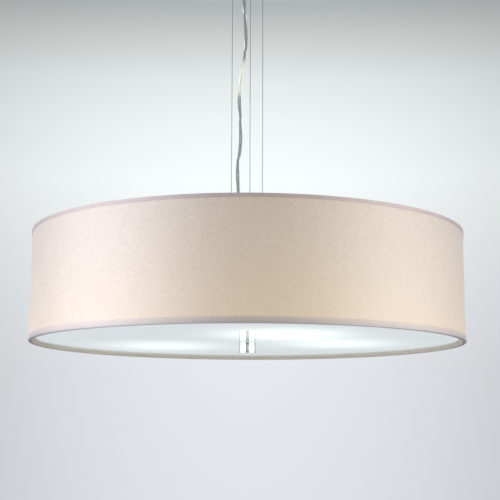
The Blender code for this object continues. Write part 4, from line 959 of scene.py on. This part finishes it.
def threaded_pipe(name, radius, bore, low, high, pitch=0.001, chamfer=0.0008):
    """A pipe with a fine thread along its whole length and its ends turned off."""
    root, clear = radius - pitch / 2, 0.0002
    tooth = [(radius, 0), (radius, 0.18), (root, 0.5), (root, 0.68)]
    pipe = screw_thread(name, tooth, pitch, low, high, 24)
    end, wide = radius - chamfer, radius + clear
    trim = [(bore, high + clear), (end - clear, high + clear), (wide, high - chamfer - clear)]
    trim += [(wide, low + chamfer + clear), (end - clear, low - clear), (bore, low - clear)]
    return join_by(pipe, lathe("ends", [*trim, trim[0]], 32), "INTERSECT")


def hexagon_nut(name, width, height, bore, chamfer=0.0006):
    """A hexagon nut about the middle, with its corners turned off and its bore opened out."""
    flat, top = width / 2, height / 2
    corner = flat / cos(pi / 6)
    bpy.ops.object.select_all(action="DESELECT")
    bpy.ops.mesh.primitive_cylinder_add(vertices=6, radius=corner, depth=height)
    nut = bpy.context.object
    nut.name = nut.data.name = name
    rim, beyond = flat * 0.97, 0.001
    slope = 0.55
    low_corner = top - (corner + beyond - rim) * slope
    outline = [(0, top + beyond), (rim, top + beyond), (rim, top), (corner + beyond, low_corner)]
    outline += [(r, -z) for r, z in reversed(outline)]
    join_by(nut, lathe("turned_corners", outline, 48), "INTERSECT")
    hole = [(0, top + beyond), (bore + chamfer + beyond, top + beyond), (bore, top - chamfer)]
    hole += [(r, -z) for r, z in reversed(hole)]
    return join_by(nut, lathe("bore", hole, 32), "DIFFERENCE")


def copy_of(piece, name):
    """A copy of a piece, with a mesh of its own."""
    twin = piece.copy()
    twin.data = piece.data.copy()
    twin.name = twin.data.name = name
    scene.collection.objects.link(twin)
    return twin


def copy_to_nodes(piece, material, slot, body, *nodes, soft=30):
    """Put a copy of a piece in the middle of each node, and do away with the first one."""
    for node in nodes:
        low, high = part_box(node)
        twin = place(copy_of(piece, f"{piece.name}_{node}"), tuple((low + high) / 2))
        fit(twin, material, slot, body, node, soft=soft)
    bpy.data.objects.remove(piece)


zinc_plate = metal("zinc_plate", (0.58, 0.59, 0.60), 0.38, 0.2, 0.000006, 0.15)
rod_radius, rod_bore = 0.005, 0.003
low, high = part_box("threaded_rod")
rod = threaded_pipe("threaded_pipe", rod_radius, rod_bore, low.z, high.z)
fit(rod, zinc_plate, "zinc_plate", "lamp_frame", "threaded_rod", soft=30)
rod_nut = hexagon_nut("rod_nut", 0.017, 0.005, 0.0052)
copy_to_nodes(rod_nut, zinc_plate, "zinc_plate", "lamp_frame", "top_nut", "hub_nut", "stop_nut")
low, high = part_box("spacer_tube")
spacer = round_edges(lathe("spacer_sleeve", shell_outline(high.y, 0.0054, low.z, high.z), 48), 0.0003)
fit(spacer, white_enamel, "white_enamel", "lamp_frame", "spacer_tube")

# The suspension plate and the wire ends
# A turned steel disc, nickel-plated and clamped by the top nut, which the three wires carry.
# Each wire is held in a short chromed end with two spanner flats, screwed into the disc.
satin_nickel = metal("satin_nickel", (0.60, 0.59, 0.57), 0.28, 0.14, 0.0000015, 0.10)
wire_circle, wire_end_shank, cord_grip_shank = 0.026, 0.002, 0.005
wire_spots = [(wire_circle * cos(turn), wire_circle * sin(turn)) for turn in lamp_turns]
low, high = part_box("suspension_plate")
plate_low, plate_high = low.z, high.z
plate = round_edges(lathe("turned_plate", shell_outline(high.x, 0.0053, low.z, high.z), 96), 0.0006)
for (x, y), radius in (
    *((spot, wire_end_shank + 0.0002) for spot in wire_spots), ((-0.0138, -0.0160), cord_grip_shank + 0.0003),
):
    hole = rod_between("hole", (x, y, plate_low - 0.001), (x, y, plate_high + 0.001), radius, 24)
    join_by(plate, hole, "DIFFERENCE")
fit(plate, satin_nickel, "satin_nickel", "lamp_frame", "suspension_plate", soft=30)


def copy_to_lamps(piece, material, slot, body, node, spots, soft=40):
    """Put a copy of a piece at each of three spots, on a body and in a node with its number."""
    for number, (location, rotation) in enumerate(spots, 1):
        twin = place(copy_of(piece, f"{piece.name}_{number}"), location, rotation)
        nodes = [f"{node}_{number}"] if node else []
        fit(twin, material, slot, body.format(number), *nodes, soft=soft)
    bpy.data.objects.remove(piece)


wire_places = [((x, y, 0), (0, 0, turn)) for (x, y), turn in zip(wire_spots, lamp_turns)]
low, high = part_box("wire_end_1")
top, bottom, half = high.z, low.z + 0.003, 0.0035
outline = [(0, top - 0.008), (0.0008, top - 0.008), (0.0008, top), (half - 0.001, top)]
outline += [(half, top - 0.001), (half, top - 0.0026), (half - 0.0004, top - 0.0028)]
outline += [(half - 0.0004, top - 0.0032), (half, top - 0.0034), (half, bottom)]
outline += [(wire_end_shank, bottom), (wire_end_shank, low.z), (0, low.z)]
wire_end = round_edges(lathe("wire_end", outline, 48), 0.00015)
for side in (-1, 1):
    bpy.ops.object.select_all(action="DESELECT")
    bpy.ops.mesh.primitive_cube_add(size=1)
    flat = bpy.context.object
    flat.scale = (0.002, 0.01, 0.004)
    flat.location = (side * (half + 0.0005), 0, bottom + 0.0035)
    join_by(wire_end, flat, "DIFFERENCE")
copy_to_lamps(wire_end, polished_chrome, "polished_chrome", "lamp_frame", "wire_end", wire_places, 30)

# The cord grips
# Moulded grips of cloudy plastic hold the cord where it leaves the canopy and where it enters
# the plate. Each is a flange with a ribbed, flexible taper, and has a nut behind the wall.
grip_flange, grip_flange_height, grip_taper, grip_bore, grip_tip, grip_shoulder = (
    0.0070, 0.004, 0.017, 0.00285, 0.00407, 0.0060
)
cloudy_plastic, tree, shader = new_material(
    "cloudy_plastic", (0.74, 0.77, 0.77), 0.35, Transmission_Weight=0.35, IOR=1.46
)
marks = use_group(tree, handling, Vector=made_at(tree), Scale=120.0, Roughness=0.35, Spread=0.2)
tree.links.new(marks["Roughness"], shader["Roughness"])
haze = add_ramp(tree, marks["Mask"], [(0.3, (0.68, 0.71, 0.71)), (0.7, (0.80, 0.82, 0.82))])
tree.links.new(haze, shader["Base Color"])


def add_ribs(piece, low, high, count, height):
    """Raise or sink every other strip of a spun piece's side, between two levels."""
    def is_rib(middle, normal):
        strip = int((atan2(middle.y, middle.x) % (2 * pi)) / (pi / count))
        outwards = middle.x * normal.x + middle.y * normal.y > 0
        return low < middle.z < high and abs(normal.z) < 0.3 and outwards and strip % 2 == 0

    choose_faces(piece, is_rib)
    bpy.ops.mesh.extrude_region_shrink_fatten(TRANSFORM_OT_shrink_fatten={"value": height})
    bpy.ops.object.mode_set(mode="OBJECT")
    return piece


grip_nut = hexagon_nut("cord_grip_nut", 0.014, 0.004, 0.0053)
for name, body, way in (("canopy_gland", "canopy", -1), ("plate_gland", "lamp_frame", 1)):
    low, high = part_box(name)
    middle = (low + high) / 2
    tip, foot = (high.z, low.z) if way > 0 else (low.z, high.z)
    seat = tip - way * (grip_taper + grip_flange_height)
    neck = seat + way * grip_flange_height
    outline = [(grip_bore, foot), (cord_grip_shank, foot), (cord_grip_shank, seat)]
    outline += [(grip_flange, seat), (grip_flange, seat + way * 0.0005)]
    outline += [(grip_flange, neck - way * 0.0005), (grip_flange - 0.0005, neck)]
    rings = 7
    for ring in range(rings):
        start, end = ring / rings, (ring + 0.6) / rings
        thick = [grip_shoulder + (grip_tip - grip_shoulder) * share for share in (start, end)]
        outline += [(thick[0], neck + way * grip_taper * start), (thick[1], neck + way * grip_taper * end)]
        if ring < rings - 1:
            groove_end = (ring + 0.98) / rings
            outline += [(thick[1] - 0.0007, neck + way * grip_taper * (end + 0.01))]
            outline += [(thick[1] - 0.0007, neck + way * grip_taper * groove_end)]
    outline += [(grip_tip, tip), (grip_bore, tip), (grip_bore, foot)]
    grip = lathe("cord_grip_" + body, outline, 48)
    add_ribs(grip, *sorted((seat, neck)), 24, -0.0004)
    place(grip, (middle.x, middle.y, 0))
    fit(grip, cloudy_plastic, "clear_plastic", body, name, soft=30)
    twin = copy_of(grip_nut, name + "_hexagon")
    low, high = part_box(name + "_nut")
    place(twin, tuple((low + high) / 2))
    fit(twin, cloudy_plastic, "clear_plastic", body, name + "_nut", soft=30)
bpy.data.objects.remove(grip_nut)


# The hub
# A pressed steel cup with a lid, coated white, in which the cord is joined to the lampholders'
# wires. The rod runs through both, and the three arms are screwed into the cup's side.
def arc(centre, radius, start, end, steps):
    """Points on an arc of an outline, with its angles in degrees."""
    turns = [radians(start + (end - start) * i / steps) for i in range(steps + 1)]
    return [(centre[0] + radius * cos(t), centre[1] + radius * sin(t)) for t in turns]


def cup_outline(outer, bore, wall, corner, low, high):
    """The closed outline of a pressed cup, open at the top, with a round corner."""
    bend, inner_corner = (outer - corner, low + corner), corner - wall
    outline = [(bore, low), *arc(bend, corner, -90, 0, 6), (outer, high), (outer - wall, high)]
    return outline + [*arc(bend, inner_corner, 0, -90, 6), (bore, low + wall), (bore, low)]


lamp_level, arm_radius, hub_wall, hub_radius = -0.500, 0.005, 0.0012, 0.032
low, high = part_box("hub_cup")
cup = round_edges(lathe("pressed_cup", cup_outline(hub_radius, 0.0053, hub_wall, 0.004, low.z, high.z), 96), 0.0003)
for turn in lamp_turns:
    heading, lift = Vector((cos(turn), sin(turn), 0)), Vector((0, 0, lamp_level))
    hole = rod_between("hole", heading * 0.028 + lift, heading * 0.036 + lift, arm_radius + 0.0003, 24)
    join_by(cup, hole, "DIFFERENCE")
fit(cup, white_enamel, "white_enamel", "lamp_frame", "hub_cup", soft=30)
low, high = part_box("hub_cover")
lip, thickness = hub_radius - hub_wall - 0.0003, 0.0015
under = high.z - thickness
outline = [(0.0053, high.z), (hub_radius, high.z), (hub_radius, under), (lip, under), (lip, low.z)]
outline += [(lip - hub_wall, low.z), (lip - hub_wall, under), (0.0053, under), (0.0053, high.z)]
cover = round_edges(lathe("pressed_cover", outline, 96), 0.0003)
hole = rod_between("hole", (-0.0138, -0.0160, low.z), (-0.0138, -0.0160, high.z + 0.001), 0.0029, 24)
join_by(cover, hole, "DIFFERENCE")
fit(cover, white_enamel, "white_enamel", "lamp_frame", "hub_cover", soft=30)

# The lamp arms
# Short threaded pipes of nickel-plated brass, which join the lampholders to the hub. A collar
# on each bears on the hub's wall.
lamp_places = [((0, 0, lamp_level), (0, pi / 2, turn)) for turn in lamp_turns]
arm_rear, arm_front, collar_seat = 0.0248, 0.0500, 0.0323
arm = threaded_pipe("lamp_nipple", arm_radius, 0.0035, arm_rear, arm_front)
collar = round_edges(lathe("collar", shell_outline(0.00775, 0.0040, collar_seat, collar_seat + 0.004), 48), 0.0004)
join_by(arm, collar, "UNION")
copy_to_lamps(arm, satin_nickel, "satin_nickel", "lamp_frame", "lamp_arm", lamp_places, 30)

# The lampholders
# Moulded in two parts from white heat-proof plastic: a domed cap that is screwed on the arm,
# and a skirt with grip ribs and the round thread for the bulb.
white_plastic = coated("white_plastic", (0.82, 0.82, 0.79), 0.42, 0.16, 500.0, 0.18)
body_radius, rim_radius, socket_pitch = 0.0190, 0.0200, 0.0036
cap_rear, cap_shoulder, cap_front, rear_radius = 0.0440, 0.0537, 0.0597, 0.0110
outline = [(0, cap_front), (body_radius, cap_front), (body_radius, cap_front - 0.0012)]
outline += [(body_radius, cap_shoulder + 0.0008)]
for step in range(13):
    angle = step / 12 * pi / 2
    reach = rear_radius + (body_radius - rear_radius) * cos(angle)
    outline.append((reach, cap_shoulder - (cap_shoulder - cap_rear) * sin(angle)))
outline += [(0.0054, cap_rear), (0.0054, 0.0503), (0, 0.0503)]
holder_cap = add_ribs(lathe("holder_cap", outline, 96), cap_shoulder + 0.0008, cap_front - 0.0012, 48, -0.0005)
copy_to_lamps(holder_cap, white_plastic, "white_plastic", "lamp_frame", "lampholder_cap", lamp_places, 30)
skirt_rear, skirt_mouth, socket_floor, socket_bore = 0.0600, 0.0960, 0.0702, 0.0137
outline = [(0, socket_floor), (socket_bore, socket_floor), (socket_bore, socket_floor + 0.002)]
for step in range(49):
    groove = 0.0007 * (1 - cos(step * pi / 4)) / 2
    outline.append((socket_bore + groove, socket_floor + 0.0025 + step * socket_pitch / 8))
outline += [(socket_bore, skirt_mouth - 0.0006), (socket_bore + 0.0006, skirt_mouth)]
outline += [(rim_radius - 0.0006, skirt_mouth), (rim_radius, skirt_mouth - 0.0006)]
outline += [(rim_radius, skirt_mouth - 0.006), (body_radius, skirt_mouth - 0.007)]
outline += [(body_radius, skirt_mouth - 0.0085), (body_radius, skirt_rear + 0.0035)]
outline += [(body_radius, skirt_rear + 0.0004), (body_radius - 0.0004, skirt_rear), (0, skirt_rear)]
skirt = lathe("holder_skirt", outline, 96)
add_ribs(skirt, skirt_rear + 0.0036, skirt_mouth - 0.0086, 48, -0.0006)
copy_to_lamps(skirt, white_plastic, "white_plastic", "lamp_frame", "lampholder", lamp_places, 30)

# The bulbs
# Opal glass bulbs, lit, on brass screw caps. Each cap has a round thread, a ring of dark
# insulator and a contact at its foot.
neck_radius, blend_radius, head_radius, glass_wall = 0.0123, 0.040, 0.030, 0.0008
neck_front, head_middle, cap_mouth = 0.0990, 0.1455, 0.0970
meeting = degrees(acos((neck_radius + blend_radius) / (blend_radius + head_radius)))
blend = (neck_radius + blend_radius, neck_front)


def bulb_side(inset):
    """One face of the glass, from its neck to its tip."""
    side = [(neck_radius - inset, cap_mouth - 0.0035)]
    side += arc(blend, blend_radius + inset, 180, 180 - meeting, 10)
    return side + arc((0, head_middle), head_radius - inset, -meeting, 90, 24)[1:]


opal_glass, tree, shader = new_material(
    "opal_glass", (0.80, 0.79, 0.75), 0.22, Coat_Weight=0.3, Emission_Strength=0.62
)
where = made_at(tree)
milk = add_node(tree, "ShaderNodeTexNoise", {"Vector": where, "Scale": 35.0, "Detail": 3.0}).outputs["Fac"]
tree.links.new(add_ramp(tree, milk, [(0.3, (0.74, 0.73, 0.68)), (0.7, (0.82, 0.81, 0.77))]), shader["Base Color"])
along = add_node(tree, "ShaderNodeSeparateXYZ", {0: where}).outputs["Z"]
up_the_bulb = add_node(tree, "ShaderNodeMapRange", {
    "Value": along, "From Min": cap_mouth, "From Max": head_middle + head_radius,
}).outputs[0]
bright = add_ramp(tree, up_the_bulb, [
    (0.0, (0.55, 0.42, 0.26)), (0.45, (1.0, 0.86, 0.66)), (0.8, (1.0, 0.90, 0.74)), (1.0, (0.80, 0.68, 0.50)),
])
tree.links.new(bright, shader["Emission Color"])
glass = lathe("bulb_envelope", bulb_side(0) + bulb_side(glass_wall)[::-1] + bulb_side(0)[:1], 64)
copy_to_lamps(glass, opal_glass, "opal_glass", "bulb_{}", "bulb_glass", lamp_places, 60)

cap_brass = metal("cap_brass", (0.70, 0.56, 0.31), 0.34, 0.22, 0.000004, 0.12)
shell_radius, thread_depth, thread_low, thread_high = 0.0132, 0.0010, 0.0792, 0.0915
tooth = [(shell_radius - thread_depth * (1 - cos(i * pi / 4)) / 2, i / 8) for i in range(8)]
shell = screw_thread("bulb_shell", tooth, socket_pitch, thread_low, thread_high, 40)
outline = [(0, 0.0906), (0.0119, 0.0906), (0.0126, 0.0918), (0.0131, 0.0924), (shell_radius, 0.0930)]
outline += [(shell_radius, cap_mouth), (0.0127, cap_mouth), (0.0127, 0.0933), (0, 0.0933)]
join_by(shell, lathe("shell_mouth", outline, 48), "UNION")
copy_to_lamps(shell, cap_brass, "cap_brass", "bulb_{}", "bulb_cap", lamp_places, 40)
contact = lathe("bulb_contact", [(0, 0.0748), (0.0050, 0.0748), (0.0050, 0.0712), (0.0042, 0.0705), (0, 0.0705)], 32)
copy_to_lamps(contact, cap_brass, "cap_brass", "bulb_{}", "", lamp_places)
insulator_glass = coated("insulator_glass", (0.045, 0.045, 0.05), 0.25, 0.15, 400.0, 0.1)
outline = [(0, 0.0793), (0.0116, 0.0793), (0.0112, 0.0783), (0.0075, 0.0755), (0.0052, 0.0746), (0, 0.0746)]
insulator = lathe("bulb_insulator", outline, 48)
copy_to_lamps(insulator, insulator_glass, "white_plastic", "bulb_{}", "", lamp_places)

# The canopy
# A pressed steel cup, nickel-plated and brushed, that covers the ceiling fixing. The wires and
# the cord leave through its floor.
low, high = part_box("canopy_cup")
canopy_radius, canopy_floor = 0.060, low.z + 0.0012
cup = round_edges(lathe("canopy_dish", cup_outline(canopy_radius, 0, 0.0012, 0.005, low.z, high.z), 128), 0.0003)
for (x, y), radius in (*((spot, 0.0038) for spot in wire_spots), ((-0.0070, 0), cord_grip_shank + 0.0003)):
    hole = rod_between("hole", (x, y, low.z - 0.001), (x, y, canopy_floor + 0.001), radius, 24)
    join_by(cup, hole, "DIFFERENCE")
for side in (-1, 1):
    hole = rod_between("hole", (side * 0.056, 0, -0.012), (side * 0.062, 0, -0.012), 0.0023, 20)
    join_by(cup, hole, "DIFFERENCE")
fit(cup, satin_nickel, "satin_nickel", "canopy", "canopy_cup", soft=30)

# The wire grippers
# Each wire runs up through a knurled barrel, which is held in the canopy by a thin nut. When
# the sprung plunger at its lower end is pressed in, the wire can be drawn through.
barrel_top, barrel_bottom, barrel_radius, shank_radius = -0.0288, -0.0458, 0.00475, 0.0035
pocket_radius, pocket_top, bore = 0.0026, -0.0385, 0.00085
outline = [(bore, barrel_top), (barrel_radius - 0.0004, barrel_top), (barrel_radius, barrel_top - 0.0004)]
outline += [(barrel_radius, -0.0325), (barrel_radius - 0.0003, -0.0327), (barrel_radius - 0.0003, -0.0331)]
outline += [(barrel_radius, -0.0333), (barrel_radius, -0.0435), (barrel_radius, barrel_bottom + 0.0008)]
outline += [(barrel_radius - 0.0008, barrel_bottom), (pocket_radius, barrel_bottom), (pocket_radius, pocket_top)]
outline += [(bore, pocket_top), (bore, barrel_top)]
barrel = add_ribs(lathe("gripper_sleeve", outline, 64), -0.0434, -0.0334, 32, -0.00025)
low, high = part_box("gripper_barrel_1")
shank = threaded_pipe("shank", shank_radius, bore + 0.0002, barrel_top - 0.0008, high.z, 0.00075, 0.0004)
join_by(barrel, shank, "UNION")
copy_to_lamps(barrel, satin_nickel, "satin_nickel", "canopy", "gripper_barrel", wire_places, 30)
gripper_nut = hexagon_nut("thin_nut", 0.010, 0.003, shank_radius + 0.0002, 0.0004)
nodes = [f"gripper_nut_{number}" for number in (1, 2, 3)]
copy_to_nodes(gripper_nut, zinc_plate, "zinc_plate", "canopy", *nodes)
stem_top, collar_top, stem_radius, collar_radius = -0.0408, -0.0493, 0.0023, 0.0032
low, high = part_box("gripper_plunger_1")
outline = [(bore, stem_top), (stem_radius, stem_top), (stem_radius, collar_top), (collar_radius, collar_top)]
outline += [(collar_radius, low.z), (bore, low.z), (bore, stem_top)]
plunger = round_edges(lathe("gripper_button", outline, 48), 0.0002)
copy_to_lamps(plunger, polished_chrome, "polished_chrome", "plunger_{}", "gripper_plunger", wire_places)


# The ceiling bracket
# A strap of zinc-plated sheet steel with its ends bent down. Two slots take the ceiling's
# screws, and the canopy is screwed to the ends.
def cut_out(name, outline, low, high):
    """Draw a closed outline across X and Z, fill it and pull it out along Y."""
    piece = draw_outline(name, [*outline, outline[0]])
    bpy.ops.mesh.remove_doubles(threshold=0.000001)
    bpy.ops.mesh.edge_face_add()
    bpy.ops.transform.translate(value=(0, low, 0))
    bpy.ops.mesh.extrude_region_move(TRANSFORM_OT_translate={"value": (0, high - low, 0)})
    bpy.ops.mesh.select_all(action="SELECT")
    bpy.ops.mesh.normals_make_consistent(inside=False)
    bpy.ops.object.mode_set(mode="OBJECT")
    return piece


zinc_sheet = coated("zinc_sheet", (0.58, 0.59, 0.60), 0.36, 0.2, 160.0, 0.18, 1.0)
low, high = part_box("ceiling_bracket")
ear, drop, thickness, bend = high.x, low.z, 0.0015, 0.003
right = arc((ear - bend, -bend), bend, 90, 0, 8) + [(ear, drop)]
right_inside = [(ear - thickness, drop)] + arc((ear - bend, -bend), bend - thickness, 0, 90, 8)
outline = [(-x, z) for x, z in reversed(right)] + right + right_inside
outline += [(-x, z) for x, z in reversed(right_inside)]
strap = cut_out("bent_strap", outline, low.y, high.y)
slot_half, slot_radius = 0.0070, 0.0025
stadium = arc((slot_half - slot_radius, 0), slot_radius, -90, 90, 8)
stadium += [(-x, -z) for x, z in stadium]
for side in (-1, 1):
    slot = place(cut_out("slot", stadium, -0.004, 0.004), (side * 0.030, 0, 0), (pi / 2, 0, 0))
    join_by(strap, slot, "DIFFERENCE")
    hole = rod_between("hole", (side * 0.052, 0, -0.012), (side * 0.060, 0, -0.012), 0.0023, 20)
    join_by(strap, hole, "DIFFERENCE")
round_edges(strap, 0.0002, 1)
fit(strap, zinc_sheet, "zinc_plate", "canopy", "ceiling_bracket", soft=30)

# The terminal block
# A moulded strip of three screw terminals under the bracket, with a round hump over each and a
# brass screw in it, where the supply is joined to the cord.
low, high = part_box("terminal_block")
block_top, hump_level, pole_pitch, corner = high.z, -0.0078, 0.0095, 0.0015
bend = (high.x - corner, high.y - corner)
quarter = arc(bend, corner, 0, 90, 5)
rounded = quarter + [(-x, y) for x, y in reversed(quarter)]
rounded += [(-x, -y) for x, y in reversed(rounded)]
base = cut_out("terminal_strip", rounded, -0.003, 0.003)
place(base, (0, 0, (block_top + hump_level) / 2), (pi / 2, 0, 0))
round_edges(base, 0.0004)
for pole in (-1, 0, 1):
    x = pole * pole_pitch
    hump = rod_between("hump", (x, -0.0065, hump_level), (x, 0.0065, hump_level), 0.00425, 32)
    join_by(base, round_edges(hump, 0.0004), "UNION")
for pole in (-1, 0, 1):
    x = pole * pole_pitch
    for side in (-1, 1):
        entry = rod_between("entry", (x, side * 0.0045, hump_level), (x, side * 0.0090, hump_level), 0.0016, 20)
        join_by(base, entry, "DIFFERENCE")
    well = rod_between("well", (x, 0, low.z - 0.001), (x, 0, low.z + 0.004), 0.0018, 20)
    join_by(base, well, "DIFFERENCE")
fit(base, white_plastic, "white_plastic", "canopy", "terminal_block", soft=30)


def cut_slot(screw, level, width, depth, reach):
    """Cut a driver's slot in the end of a screw."""
    bpy.ops.object.select_all(action="DESELECT")
    bpy.ops.mesh.primitive_cube_add(size=1)
    slot = bpy.context.object
    slot.scale = (width, reach, 2 * depth)
    slot.location = (0, 0, level)
    return join_by(screw, slot, "DIFFERENCE")


clamp_screw = round_edges(lathe("clamp_screw", [(0, 0.0015), (0.0015, 0.0015), (0.0015, -0.0012), (0, -0.0012)], 24), 0.0002)
cut_slot(clamp_screw, -0.0012, 0.0005, 0.0006, 0.004)
for number, pole in enumerate((-1, 0, 1), 1):
    twin = place(copy_of(clamp_screw, f"clamp_screw_{number}"), (pole * pole_pitch, 0, low.z + 0.0024), (0, 0, 0.6 * number))
    fit(twin, cap_brass, "cap_brass", "canopy", soft=30)
bpy.data.objects.remove(clamp_screw)

# The canopy screws
# Two nickel-plated pan head screws through the canopy's side into the ends of the bracket.
head_seat, head_height, head_radius, screw_tail = 0.0603, 0.0025, 0.004, 0.0534
outline = [(0, head_seat), (head_radius, head_seat), (head_radius, head_seat + 0.0012)]
outline += [(0.0036, head_seat + 0.0019), (0.0026, head_seat + 0.0024), (0, head_seat + head_height)]
screw = round_edges(lathe("pan_head_screw", outline, 48), 0.0002)
cut_slot(screw, head_seat + head_height, 0.0010, 0.0012, 0.010)
shank = threaded_pipe("shank", 0.002, 0.0004, screw_tail, head_seat + 0.0005, 0.0007, 0.0003)
join_by(screw, shank, "UNION")
low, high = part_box("canopy_screw_1")
first_side = 1 if high.x > 0 else -1
for number, side in ((1, first_side), (2, -first_side)):
    twin = place(copy_of(screw, f"pan_head_screw_{number}"), (0, 0, -0.012), (0, side * pi / 2, 0))
    fit(twin, satin_nickel, "satin_nickel", "canopy", f"canopy_screw_{number}", soft=30)
bpy.data.objects.remove(screw)

low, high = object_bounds()
